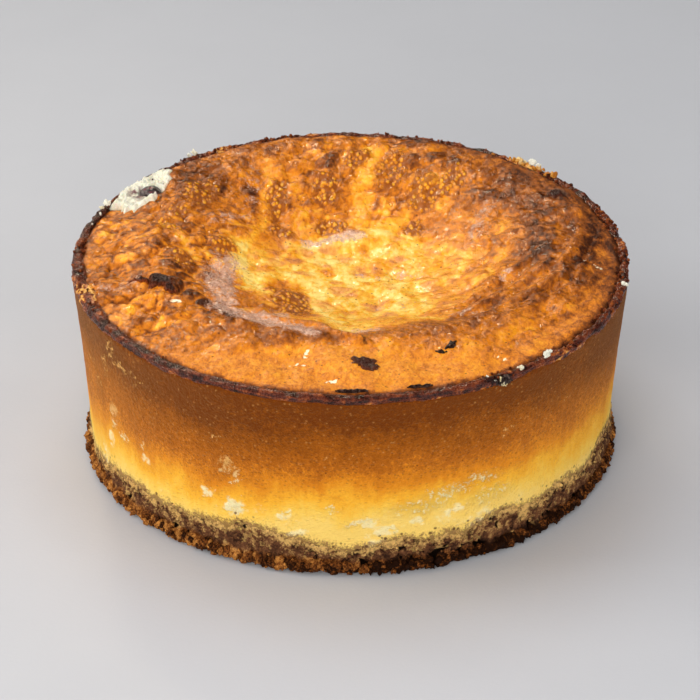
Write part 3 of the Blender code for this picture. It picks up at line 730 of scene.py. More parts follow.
def skin_relief(x, y):
    """The skin's finer relief over its form, and its fields for the finish."""
    flat = plan(x, y)
    radius, reach = np.hypot(x, y), dish_reach(x, y)
    warp_x = x + 2.6 * waver(flat, 11, 21) + 1.0 * waver(flat, 4, 22)
    warp_y = y + 2.6 * waver(flat, 11, 23) + 1.0 * waver(flat, 4, 24)
    off_x, off_y = warp_x - DISH_CENTRE[0], warp_y - DISH_CENTRE[1]
    around, outward = SWEEP * np.arctan2(off_y, off_x), np.hypot(off_x, off_y)

    pool = oval_share(warp_x, warp_y, (2, 3), (44, 50), 0)
    left = oval_share(x, y, (-66, -6), (40, 72), 0)
    right = oval_share(x, y, (64, -6), (38, 66), 0) * (1 - 0.6 * pool)
    back = oval_share(x, y, (0, 66), (62, 34), 0)
    front = smooth(-66, -76, y)

    lump, crease, tone = blisters(plan(warp_x, warp_y), 8.0, 31)
    small_lump, small_crease, small_tone = blisters(plan(warp_x, warp_y), 3.8, 32)
    folds = waver(plan(around / 16, outward / 6.0), 1, 33)
    folds += 0.5 * waver(plan(around / 8, outward / 2.8), 1, 34)
    spokes = ridges(plan(around / 5.5, outward / 17), 35)
    wrinkles = ridges(plan(warp_x / 3.2, warp_y / 3.2), 38)
    bead, _, _ = blisters(flat, 1.9, 36)
    beaded = np.zeros_like(x)
    for place, half_size, turn in BEADED_AREAS:
        beaded = np.maximum(beaded, oval_share(warp_x, warp_y, place, half_size, turn, 0.6, 1.15))
    broad, middling, small = waver(flat, 7, 39), waver(flat, 4.2, 40), waver(flat, 2.1, 41)

    calm = np.maximum(front, smooth(84, 90, radius) * smooth(30, 65, x))
    cobbled = left * (1 - 0.75 * front) * (1 - 0.6 * pool) + 0.75 * back * (1 - left)
    cobbled = cobbled + 0.30 * right + 0.40 * pool
    flank = right * smooth(0.45, 0.75, reach) * (1 - 0.75 * front)
    wall = back * smooth(0.35, 0.7, reach)
    relief = cobbled * (2.1 * (lump - 0.6) + 1.0 * (small_lump - 0.6))
    relief += 1.0 * flank * folds + 0.30 * wall * spokes
    relief += 0.09 * wrinkles * (1 - 0.7 * calm) * (1 - pool) + 0.30 * broad + 0.12 * small
    knobs = np.zeros_like(x)
    for place, size, rise in KNOBS:
        away = np.hypot(warp_x - place[0], warp_y - place[1]) / size * 1.25
        knobs = np.maximum(knobs, rise * np.exp(-(away ** 4)))
    relief += knobs + 0.35 * beaded * (bead - 0.5)

    baked = np.full_like(x, 0.54)
    for place, half_size, turn, level, shown in BAKED_AREAS:
        baked += shown * oval_share(warp_x, warp_y, place, half_size, turn) * (level - baked)
    patch = (tone - 0.5) * (1 - 0.8 * crease) + 0.6 * (small_tone - 0.5) * (1 - 0.8 * small_crease)
    baked += (0.3 + 0.7 * cobbled) * (1 - 0.5 * front) * 0.42 * patch
    # Painted light and shade: in golden areas the creases between lumps are darkened as painted shade, and
    # everywhere cobbled the small lumps' tops are lightened as a painted highlight and their edges darkened.
    # In brown areas the creases are paler, as the baked skin itself is.
    crease_tone_and_shade = 0.20 - 0.40 * smooth(0.52, 0.66, baked)
    baked += cobbled * (1 - pool) * (crease_tone_and_shade * crease + 0.6 * crease_tone_and_shade * small_crease - 0.10 * (small_lump - 0.6))
    baked -= pool * (0.05 * crease + 0.03 * small_crease)
    baked += 0.16 * flank * folds + 0.06 * wall * (spokes - 0.4) + 0.03 * knobs
    baked += (0.07 * middling + 0.05 * small) * (1 - 0.3 * front)
    baked += 0.6 * beaded * (0.66 - baked)
    for points, half_width, level in BRIGHT_SEAMS:
        share = line_share(warp_x, warp_y, points, half_width, 0.0, 2.2)
        baked += np.clip(share * (0.85 + 0.7 * middling), 0, 1) * (level - baked)
    for points, half_width, rise in LIPS:
        share = line_share(warp_x, warp_y, points, half_width, 0.0, 1.3)
        relief += rise * share
        baked += 0.6 * share * (0.62 + 0.06 * small - baked)
    crack = np.zeros_like(x)
    for points, half_width, depth in CRACKS:
        share = line_share(warp_x, warp_y, points, half_width)
        crack = np.maximum(crack, share * depth)
        relief -= 0.8 * depth * share
    edge = radius + 1.3 * waver(flat, 5, 43) + 0.8 * waver(flat, 2, 45)
    baked += (0.98 - baked) * smooth(94.2, 98.2, edge)

    film = np.zeros_like(x)
    for points, half_width, shown in FILMS_AND_SHEENS:
        film = np.maximum(film, shown * line_share(warp_x, warp_y, points, half_width))
    ragged = film + 0.55 * waver(flat, 4.5, 44) + 0.35 * waver(flat, 1.8, 46) + 0.3 * (tone - 0.5)
    film *= smooth(0.05, 0.65, ragged)

    scratch = np.zeros_like(x)
    for place, half_length, turn in SCRATCHES:
        share = oval_share(warp_x, warp_y, place, (1.5 * half_length, 1.1), turn)
        scratch = np.maximum(scratch, share * smooth(-0.35, 0.25, waver(flat, 1.2, 19)))
    relief -= 0.5 * scratch
    fields = {
        "baked": baked, "film": film, "beaded": beaded, "pool": pool, "scratch": scratch, "crack": crack,
        "flank": flank, "calm": calm, "around": around, "outward": outward,
    }
    return relief, fields


def skin_height(x, y):
    """Height of the finished skin, and its fields."""
    relief, fields = skin_relief(x, y)
    radius = np.hypot(x, y)
    height = skin_form(x, y) + relief * (1 - smooth(95.5, 98.0, radius))
    return height - 1.6 * smooth(94.5, 98.6, radius) ** 2, fields


def skin_finish(settings):
    """Moist browned skin: a soft pale net in the middle, brown blisters, dried film whose whitish colour is
    partly a painted sheen, beads with painted highlights on their tops, painted shade in the cracks, and fine
    pits.
    """
    finish = Finish("browned_skin", Subsurface_Weight=0.05, Subsurface_Scale=0.002, Specular_IOR_Level=0.27)
    finish.shader.inputs["Subsurface Radius"].default_value = (1.0, 0.42, 0.16)
    baked, film, beaded, pool, scratch = finish.fields("baked", "film", "beaded", "pool", "scratch")
    crack, flank, calm, around, outward = finish.fields("crack", "flank", "calm", "around", "outward")
    deep = finish.stretched(1.0, 0.62, 1.0)
    swirl = finish.spots(6, 4, 0.6, 1.0, deep)
    mottle = finish.spots(2.4, 4, 0.6, 0.6, deep)
    fine = finish.spots(1.2, 3, 0.55, 0.0, deep)
    specks = finish.spots(0.55, 3, 0.6, 0.0, deep)
    swept = finish.start.node("ShaderNodeCombineXYZ", {}, {"X": around * 0.14, "Y": outward * 0.5})
    swept = finish.start.node("ShaderNodeTexNoise", {}, {"Vector": swept, "Scale": 1.0, "Detail": 4.0})
    swept = swept.between(0.32, 0.68)

    drift = {"Vector": finish.place, "Scale": 130.0}
    drift = finish.start.node("ShaderNodeTexNoise", {}, drift, output="Color")
    drift = finish.vectors("SCALE", drift, Scale=0.008)
    warped = finish.vectors("ADD", finish.stretched(0.85, 0.75, 1.0), drift)
    net = 1 - finish.cells(8.0, "DISTANCE_TO_EDGE", warped).between(0.0, 0.32)
    small_net = 1 - finish.cells(3.0, "DISTANCE_TO_EDGE", warped).between(0.0, 0.30)
    islands = 1 - finish.cells(8.5, place=warped).between(0.25, 0.50)
    islands = islands * finish.grain(11, 2).between(0.38, 0.52)
    veins = (net * 0.9 + small_net * 0.35) * pool
    rings = 1 - finish.cells(3.6, "DISTANCE_TO_EDGE", warped).between(0.0, 0.09)
    rings = rings * finish.grain(5.0, 2).between(0.46, 0.60) * (1 - pool)

    spotty = (swirl - 0.5) * 0.13 + (mottle - 0.5) * 0.11 + (fine - 0.5) * 0.10 + (specks - 0.5) * 0.06
    level = baked + 0.018 + spotty * (1 - 0.4 * calm) + (fine + specks - 1) * calm * 0.09
    level = level + (swept - 0.5) * flank * 0.14 - veins * 0.13 + islands * pool * 0.21 + rings * 0.07
    stops = (
        (0.05, settings.cream), (0.20, settings.yellow), (0.36, settings.golden),
        (0.53, settings.toasted), (0.74, settings.brown), (0.97, settings.dark),
    )
    colour = finish.ramp(level, stops)
    flecks = finish.grain(0.8, 4, 0.7).between(0.36, 0.64)
    # The whitish film colour is laid on partly as dried film and partly as a painted sheen.
    film_sheen_share = (film + (flecks - 0.5) * 0.6 + (mottle - 0.5) * 0.6).between(0.28, 0.92) * 0.82
    film_sheen_share = film_sheen_share * film.between(0.0, 0.2) + islands * pool * 0.18
    dried = finish.mixed(specks * 0.45 + mottle * 0.35, settings.film, settings.dusk)
    colour = finish.mixed(film_sheen_share, colour, dried)
    shown = (beaded + (mottle - 0.5) * 0.5 + (swirl - 0.5) * 0.5).between(0.20, 0.95)
    bubble = (1 - finish.cells(1.7, place=deep).between(0.20, 0.60)) * shown * (0.55 + 0.45 * mottle)
    # Each bead runs from brown at its edge through golden to yellow at its middle: golden beads on brown
    # skin, with their yellow tops a painted highlight.
    stops = (
        (0.05, settings.brown), (0.30, settings.toasted), (0.65, settings.golden), (0.98, settings.yellow),
    )
    colour = finish.mixed(shown * 0.80, colour, finish.ramp(bubble, stops))
    colour = finish.mixed(scratch.between(0.3, 0.7), colour, settings.torn)
    # Cracks and folds are darkened, partly as darker baked skin and partly as painted shade in the groove.
    colour = finish.mixed(crack.between(0.25, 0.8) * (0.5 + 0.5 * fine), colour, settings.char)
    pits = finish.cells(2.0).between(0.10, 0.24)
    dots = finish.cells(3.7).between(0.06, 0.13)
    colour = finish.mixed((1 - pits) * 0.50 * (1 - 0.6 * pool), colour, settings.brown)
    colour = finish.mixed((1 - dots) * 0.75, colour, settings.dark)
    sparkle = finish.grain(2.2, 3).between(0.47, 0.62)
    roughness = 0.50 - 0.36 * sparkle * (1 - 0.6 * calm) + 0.06 * (fine - 0.5) + 0.16 * calm - 0.04 * bubble
    pimples = 1 - finish.cells(2.8).between(0.0, 0.80)
    relief = mottle * 0.24 + fine * 0.10 + specks * 0.03 + pits * 0.10 - rings * 0.10 + swept * flank * 0.2
    relief = relief * (1 - 0.5 * calm) * (1 - 0.55 * pool)
    relief = relief + pimples * (0.55 - 0.42 * pool - 0.35 * calm) + bubble * 0.8
    return finish.show(Base_Color=colour, Roughness=roughness, Normal=finish.bump(relief, 0.60))


class CHEESECAKE_OT_browned_skin(bpy.types.Operator):
    """Builds the browned top skin with its sunken middle"""

    bl_idname = "cheesecake.browned_skin"
    bl_label = "Browned skin"

    def execute(self, context):
        settings = cake(context).skin
        x, y, faces, ring = disc_of_squares(settings.radius / MM, settings.squares)
        height, fields = skin_height(x, y)
        top = np.column_stack((x, y, height))
        hems = [
            np.column_stack((share * x[ring], share * y[ring], np.full(len(ring), z)))
            for share, z in SKIN_HEMS
        ]
        points = np.concatenate((top, *hems))
        sides, above = [], ring
        for number in range(len(hems)):
            below = np.arange(len(ring)) + len(x) + number * len(ring)
            sides.append(np.stack((np.roll(above, -1), above, below, np.roll(below, -1)), axis=1))
            above = below
        fields = {
            name: np.concatenate((values, *[values[ring]] * len(hems)))
            for name, values in fields.items()
        }
        piece = new_piece(
            "browned_skin", points, np.concatenate((faces, *sides)), skin_finish(settings), fields,
            caps=[above[::-1].tolist()],
        )
        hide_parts("baked_filling")
        return {"FINISHED"}


# The caramelised rim

def turned_points(bearing, radius, height):
    """Points at bearings from the front, in radians, positive to the right."""
    return np.column_stack((radius * np.sin(bearing), -radius * np.cos(bearing), height))


def by_bearing(degrees, column):
    """A value of the rim's stretches, eased from one to the next."""
    table = np.array(RIM_STRETCHES, dtype=float)
    return np.interp(degrees, table[:, 0], table[:, column], period=360)


def rim_finish(settings):
    """Dark sticky caramel drawn out along the rim, with golden flakes; the crags that stand out are coloured
    lighter and redder, partly as caramel and partly as a painted highlight.
    """
    finish = Finish("caramelised_rim", Specular_IOR_Level=0.50)
    crag, gold, along, under = finish.fields("crag", "gold", "along", "under")
    chunks = finish.spots(3.4, 4, 0.6, 0.4)
    fine = finish.spots(0.7, 4, 0.6)
    up = finish.start.node("ShaderNodeSeparateXYZ", {}, {"Vector": finish.place}, output="Z")
    drawn = finish.start.node("ShaderNodeCombineXYZ", {}, {"X": along * 0.12, "Y": up * (1.1 / MM)})
    drawn = finish.start.node("ShaderNodeTexNoise", {}, {"Vector": drawn, "Scale": 1.0, "Detail": 4.0})
    drawn = drawn.between(0.32, 0.68)
    # Crags that stand out are coloured lighter and the hollows darker: partly caramel, partly painted
    # highlight and shade.
    level = crag * 0.40 + (chunks - 0.5) * 0.42 + (drawn - 0.5) * 0.30 + (fine - 0.5) * 0.22
    level = level + 0.17 + gold * 0.75 + under * chunks * 0.30
    stops = (
        (0.16, settings.char), (0.42, settings.maroon), (0.64, settings.caramel), (0.84, settings.toasted),
        (1.0, settings.golden),
    )
    relief = chunks * 0.4 + fine * 0.25 + drawn * 0.7
    return finish.show(
        Base_Color=finish.ramp(level, stops), Roughness=0.18 + 0.20 * fine, Normal=finish.bump(relief, 0.55),
    )


class CHEESECAKE_OT_caramelised_rim(bpy.types.Operator):
    """Builds the dark crumbly rim that crept up the tin"""

    bl_idname = "cheesecake.caramelised_rim"
    bl_label = "Caramelised rim"

    def execute(self, context):
        settings = cake(context).rim
        columns, turns = settings.columns, 26
        bearing = np.linspace(-math.pi, math.pi, columns, endpoint=False)
        around = np.linspace(0, 2 * math.pi, turns, endpoint=False)
        bearing, around = [grid.ravel() for grid in np.meshgrid(bearing, around)]
        degrees = np.degrees(bearing)
        half, rise, crag = [by_bearing(degrees, column) for column in (1, 2, 3)]
        ring = turned_points(bearing, RIM_MIDDLE, 0 * bearing)
        patchy = waver(ring, 16, 50)
        half = half * (1 + 0.16 * waver(ring, 8, 51) + 0.14 * waver(ring, 3.2, 52) + 0.25 * patchy * crag)
        middle = settings.radius / MM - half - 0.4 * crag + 0.5 * waver(ring, 6, 58) * crag
        up = np.where(np.sin(around) > 0, rise * (1 + 0.35 * patchy), settings.drop / MM)
        height = RIM_LEVEL + up * np.sin(around) + (0.25 + 0.6 * crag) * waver(ring, 7, 53)
        points = turned_points(bearing, middle + half * np.cos(around), height)
        chunk = 0.55 - cell_edges(points, 4.2, 54)[0]
        strands = ridges(np.column_stack((bearing * RIM_MIDDLE / 11, height / 1.5, middle / 1.5)), 70)
        crags = 0.45 * chunk + 0.30 * ridges(points / 3.4, 55)
        crags = crags + 0.25 * waver(points, 1.3, 56) + 0.45 * strands
        push = crag * settings.crag / MM * (crags + 0.4 * waver(points, 5, 57))
        points += push[:, None] * turned_points(bearing, np.cos(around), np.sin(around))
        hold_in(points)
        gold = np.zeros_like(crags)
        for place, half_width, shown in GOLDEN_PATCHES:
            gold = np.maximum(gold, shown * bell(degrees - place, half_width))
        gold *= smooth(-0.3, 0.25, waver(points, 2.2, 59) + 0.15)
        under = smooth(0.1, -0.7, np.sin(around)) * smooth(-0.2, 0.5, np.cos(around))
        fields = {
            "crag": np.clip(0.45 + 0.5 * crags, 0, 1), "gold": gold,
            "along": bearing * RIM_MIDDLE, "under": under,
        }
        faces = turned_faces(turns, columns, True)
        new_piece("caramelised_rim", points, faces, rim_finish(settings), fields)
        return {"FINISHED"}


def hold_in(points):
    """Keeps points inside the cake's outer limits."""
    reach = np.hypot(points[:, 0], points[:, 1])
    points[:, :2] *= (np.minimum(reach, OUTER_LIMIT) / reach)[:, None]
    points[:, 2] = np.clip(points[:, 2], LOWER_LIMIT, UPPER_LIMIT)


def crumb_finish(name, dark, middle, light, wet):
    """Loose crumbs, each with a tone of its own."""
    finish = Finish(name, Specular_IOR_Level=0.12, Coat_Roughness=0.25)
    tone = finish.field("tone")
    fine = finish.spots(0.6, 4, 0.65)
    colour = finish.ramp(tone * 0.65 + fine * 0.35, ((0.12, dark), (0.50, middle), (0.90, light)))
    return finish.show(
        Base_Color=colour, Roughness=0.60 + 0.2 * fine, Coat_Weight=wet * fine, Normal=finish.bump(fine, 0.3)
    )


def crumb_piece(name, places, sizes, material, shades, *shapes):
    """A piece of loose crumbs, held inside the cake's limits, with their tones scaled by shades."""
    points, faces, tones = scatter(places, sizes, *shapes)
    hold_in(points)
    new_piece(name, points, faces, material, {"tone": shades * tones})


class CHEESECAKE_OT_rim_crumbs(bpy.types.Operator):
    """Scatters dark crumbs along the rim, thickest where it is most craggy"""

    bl_idname = "cheesecake.rim_crumbs"
    bl_label = "Rim crumbs"

    def execute(self, context):
        settings = cake(context).rim
        draw = np.random.default_rng(17)
        degrees = draw.uniform(-180, 180, settings.crumbs)
        clumps = waver(turned_points(np.radians(degrees), RIM_MIDDLE, 0 * degrees), 7, 48)
        degrees = degrees[draw.uniform(0.3, 1.1, len(degrees)) < by_bearing(degrees, 3) * (0.75 + clumps)]
        sizes = draw.uniform(0.25, 0.85, len(degrees)) * (0.6 + 0.5 * by_bearing(degrees, 3))
        outer = settings.radius / MM
        radius = draw.uniform(outer - 4.6, OUTER_LIMIT - 1.0, len(degrees))
        crown = 1 - ((radius - outer + 2.2) / 3.2) ** 2
        height = RIM_LEVEL + by_bearing(degrees, 2) * np.clip(crown, 0.1, 1)
        height += draw.uniform(-0.6, 0.7, len(degrees))
        places = turned_points(np.radians(degrees), radius, height)
        material = crumb_finish("rim_crumbs", settings.char, settings.caramel, settings.toasted, 0.3)
        crumb_piece("rim_crumbs", places, sizes, material, 0.85, 0.55, 18)
        return {"FINISHED"}


# The baked wall

def wall_radius(height, settings):
    """Radius of the wall at a height over the ground."""
    foot, top = settings.foot_radius / MM, settings.top_radius / MM
    share = np.clip((height - FLARE_LOW) / (FLARE_HIGH - FLARE_LOW), 0, 1.1)
    return foot + (top - foot) * share**1.3


def browning_line(degrees, points):
    """Height at which the wall turns orange, by bearing."""
    higher = smooth(-34, -4, degrees) * (1 - smooth(75, 140, degrees))
    lower = (1 - smooth(-80, -55, degrees)) * smooth(-150, -110, degrees)
    line = 30.5 + 6.5 * higher - 5.0 * lower + 1.6 * waver(points, 12, 68)
    return line + waver(points * (1, 1, 0), 22, 69)


def biscuit_line(bearing, points):
    """Height that the biscuit reaches up to in the wall."""
    line = 12.6 + 1.3 * waver(points * (1, 1, 0), 13, 61) + 1.1 * waver(points * (1, 1, 0), 4, 62)
    for place, width, rise in BISCUIT_SWELLS:
        line += rise * bell(np.degrees(bearing) - place, width)
    return line


def wall_finish(settings):
    """Baked custard wall: cream low down, yellow and orange bands, brown above, with a sandy grain."""
    finish = Finish(
        "baked_wall", Subsurface_Weight=0.05, Subsurface_Scale=0.003, Specular_IOR_Level=0.04,
        Sheen_Weight=0.22, Sheen_Roughness=0.45,
    )
    finish.shader.inputs["Subsurface Radius"].default_value = (1.0, 0.45, 0.18)
    finish.shader.inputs["Sheen Tint"].default_value = (1.0, 0.64, 0.26, 1)
    done, scar, rough, soaked, curd = finish.fields("done", "scar", "flaky", "soaked", "curd")
    broad = finish.spots(14, 3, 0.5)
    grain = finish.spots(1.5, 5, 0.68)
    specks = finish.spots(0.6, 3, 0.5)
    drawn = finish.spots(3.0, 4, 0.6, 0.0, finish.stretched(1, 1, 0.16))
    sandy = 0.25 + 0.75 * done.between(0.45, 0.68)
    level = done + (broad - 0.5) * 0.09 + (drawn - 0.5) * 0.05
    level = level + ((grain - 0.5) * 0.17 + (specks - 0.5) * 0.12) * sandy
    stops = (
        (0.12, settings.cream), (0.24, settings.pale), (0.35, settings.yellow), (0.48, settings.orange),
        (0.61, settings.amber), (0.76, settings.brown), (1.0, settings.deep),
    )
    colour = finish.ramp(level, stops)
    dots = finish.cells(2.4).between(0.08, 0.26)
    colour = finish.mixed((1 - dots) * done.between(0.4, 0.7) * 0.38 * specks, colour, settings.flake)
    pits = finish.cells(1.8, place=finish.stretched(1.0, 1.0, 1.2)).between(0.14, 0.34)
    colour = finish.mixed((1 - pits) * done.between(0.25, 0.7) * 0.50, colour, settings.deep)
    holes = finish.cells(4.3).between(0.05, 0.10)
    colour = finish.mixed((1 - holes) * done.between(0.35, 0.6) * 0.80, colour, settings.deep)
    crinkle = finish.spots(1.5, 5, 0.7)
    pale = (scar + (crinkle - 0.5) * 0.9).between(0.36, 0.85) * scar.between(0.0, 0.2) * 0.9
    colour = finish.mixed(pale, colour, finish.mixed(done.between(0.45, 0.65), settings.curd, settings.flake))
    colour = finish.mixed((curd + (crinkle - 0.5) * 0.5).between(0.20, 1.0) * 0.75, colour, settings.curd)
    sprinkled = (soaked + (specks - 0.5) * 0.25 + (grain - 0.5) * 0.50).between(0.35, 0.95)
    colour = finish.mixed(sprinkled * 0.85, colour, finish.mixed(grain, settings.soaked, settings.damp))
    seeds = finish.cells(3.0).between(0.12, 0.26)
    sown = (1 - seeds) * (soaked + (grain - 0.5) * 0.2).between(0.04, 0.30) * 0.85
    colour = finish.mixed(sown, colour, settings.soaked)
    relief = grain * 0.6 + specks * 0.4 + pits * 0.5 + seeds * 0.3 + crinkle * rough * 0.9
    roughness = 0.60 + 0.15 * (grain - 0.5)
    return finish.show(Base_Color=colour, Roughness=roughness, Normal=finish.bump(relief, 0.35))


class CHEESECAKE_OT_baked_wall(bpy.types.Operator):
    """Builds the browned and pale wall of baked cheese"""

    bl_idname = "cheesecake.baked_wall"
    bl_label = "Baked wall"

    def execute(self, context):
        settings = cake(context).wall
        columns, rows = settings.columns, settings.rows
        bearing, height = np.meshgrid(
            np.linspace(-math.pi, math.pi, columns, endpoint=False), np.linspace(WALL_LOW, WALL_HIGH, rows)
        )
        bearing, height = bearing.ravel(), height.ravel()
        radius = wall_radius(height, settings)
        points = turned_points(bearing, radius, height)
        degrees = np.degrees(bearing)
        scar, flaky = np.zeros_like(radius), np.zeros_like(radius)
        warp = 1.6 * waver(points, 3.0, 63) + 0.9 * waver(points, 1.3, 60)
        for place, up, half_width, half_height, pale, rough in SCARS:
            reach = np.hypot((degrees - place + warp) / half_width, (height - up + 1.5 * warp) / half_height)
            share = 1 - smooth(0.3, 1.25, reach)
            scar, flaky = np.maximum(scar, pale * share), np.maximum(flaky, rough * share)
        spots = np.zeros_like(radius)
        for place, up, half_width, half_height in DARK_SPOTS:
            reach = np.hypot((degrees - place) / half_width, (height - up) / half_height)
            spots = np.maximum(spots, 1 - smooth(0.5, 1.1, reach))
        line = biscuit_line(bearing, points)
        over = height - line
        curdled = np.clip(0.05 + 1.3 * waver(points * (1, 1, 0.5), 9, 49), 0, 1)
        curdled = curdled * (1 - smooth(5, 14, over)) * smooth(-3, 1, over)
        for place, up, half_width, half_height in CURDS:
            reach = np.hypot((degrees - place + 0.6 * warp) / half_width, (height - up + warp) / half_height)
            curdled = np.maximum(curdled, 1 - smooth(0.5, 1.2, reach))
        lump, crease, _ = blisters(points * (1, 1, 1.35), 3.0, 48)
        push = 0.5 * waver(points, 28, 29) + 0.10 * waver(points, 4, 66) + 0.06 * waver(points, 1.5, 67)
        push += flaky * (0.25 * ridges(points / 2.4, 64) + 0.2 * waver(points, 1.1, 65))
        push += curdled * (0.45 * (lump - 0.6) - 0.20 * crease) - 0.8 * smooth(70, 72, height)
        push -= 0.35 * (1 - smooth(-2.0, 1.0, over))
        points[:, :2] *= (1 + push / radius)[:, None]
        done = (height - browning_line(degrees, points)) / 52 + 0.48
        # Painted light: the wall's upper part at the left is coloured paler, as if lit from the left.
        painted_left_light = 0.20 * bell(degrees + 84, 30) * smooth(34, 50, height)
        duller = 0.07 * smooth(35, 65, degrees) * (1 - smooth(95, 130, degrees))
        done = np.clip(done - painted_left_light + duller + 0.25 * spots + 0.12 * smooth(66, 71, height), 0, 1)
        soaked = 1 - smooth(-1.5, 6.0, over + 1.2 * waver(points, 2.4, 47))
        curd = np.clip(curdled * (lump - 0.25) * 1.7, 0, 1)
        inner = [
            turned_points(bearing[:columns], WALL_INSIDE, np.full(columns, z))
            for z in (WALL_HIGH - 8, WALL_LOW + 2)
        ]
        points = np.concatenate((points, *inner))
        fields = {"done": done, "scar": scar, "flaky": flaky, "soaked": soaked, "curd": curd}
        fields = {name: np.concatenate((values, np.zeros(2 * columns))) for name, values in fields.items()}
        faces = turned_faces(rows + 2, columns, True)
        piece = new_piece("baked_wall", points, faces, wall_finish(settings), fields)
        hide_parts("baked_filling")
        return {"FINISHED"}


# The biscuit base

def biscuit_colour(finish, settings, tone, soaked, creamy, fine):
    """Toasted crumb at the foot, dark soaked crumb above it, and cheese among the crumbs at the top."""
    blotch = finish.spots(4.5, 3, 0.55)
    smear = finish.grain(1.6, 4, 0.6).between(0.34, 0.66)
    mixed_tone = tone * 0.55 + fine * 0.45
    stops = ((0.18, settings.dark), (0.50, settings.toasted), (0.85, settings.golden))
    toasted = finish.ramp(mixed_tone, stops)
    stops = ((0.18, settings.shade), (0.55, settings.soaked), (0.95, settings.cheesy))
    damp = finish.ramp(mixed_tone * 0.7 + blotch * 0.3, stops)
    cheese = (creamy + (smear - 0.5) * 0.6 + (blotch - 0.5) * 0.5).between(0.25, 1.0)
    return finish.mixed(soaked, toasted, finish.mixed(cheese * 0.8, damp, settings.cheesy))


def biscuit_finish(settings):
    """Coarse pressed crumb, with painted shade darkening the gaps and holes between the crumbs."""
    finish = Finish("biscuit_crumb", Specular_IOR_Level=0.10)
    tone, depth, soaked, creamy = finish.fields("tone", "depth", "soaked", "creamy")
    fine = finish.grain(0.8, 5, 0.7).between(0.28, 0.72)
    colour = biscuit_colour(finish, settings, tone, soaked, creamy, fine)
    # Painted shade in the gaps and holes between crumbs.
    colour = finish.mixed((1 - depth).between(0.15, 0.65), colour, settings.gap)
    return finish.show(Base_Color=colour, Roughness=0.72 + 0.2 * (fine - 0.5), Normal=finish.bump(fine, 0.5))


def loose_crumb_finish(settings):
    """Crumbs that stand out of the base."""
    finish = Finish("foot_crumbs", Specular_IOR_Level=0.10)
    fine = finish.spots(0.7, 4, 0.65)
    fields = finish.fields("tone", "soaked", "creamy")
    colour = biscuit_colour(finish, settings, *fields, fine)
    return finish.show(Base_Color=colour, Roughness=0.70 + 0.2 * (fine - 0.5), Normal=finish.bump(fine, 0.35))


def crumb_seeds(radius, spacing, low, high, seed):
    """Middles of the crumbs pressed into the base's outside."""
    draw = np.random.default_rng(seed)
    count = int(2 * math.pi * radius * (high - low) / spacing**2)
    return turned_points(draw.uniform(-math.pi, math.pi, count), radius, draw.uniform(low, high, count))


def cheesiness(bearing, height, ring):
    """How much cheese lies among the crumbs: none at the foot, most where the biscuit ends."""
    return 0.8 * smooth(-6.0, 0.5, height - biscuit_line(bearing, ring))


def foot_scorch_and_shade(bearing, height):
    """How much darker the foot is, most of all at the front right: partly darker baking and partly painted
    shade where it meets the ground.
    """
    place, half_width, shown = DARK_FOOT
    return shown * bell(np.degrees(bearing) - place, half_width) * (1 - smooth(3.0, 8.0, height))


def base_push(ring, bearing, height):
    """How far the pressed base stands out or in at each point, before its crumbs."""
    under = biscuit_line(bearing, ring) - height
    stand = np.clip(under * 0.3, -1.6, 0.35)
    gap = smooth(-0.1, 0.5, waver(ring * (1, 1, 0), 11, 76))
    for place, half_width, shown in FOOT_GAPS:
        gap = np.maximum(gap, shown * bell(np.degrees(bearing) - place, half_width))
    recess = -1.5 * gap * bell(height - 5.2 - 1.1 * waver(ring, 9, 75), 1.1)
    foot = 0.9 * (1 - smooth(2.8, 4.8, height)) - 1.6 * (1 - smooth(0.0, 1.3, height)) ** 2
    return stand + recess + foot + 0.5 * waver(ring, 8, 78) + 0.35 * waver(ring, 3.5, 74), gap


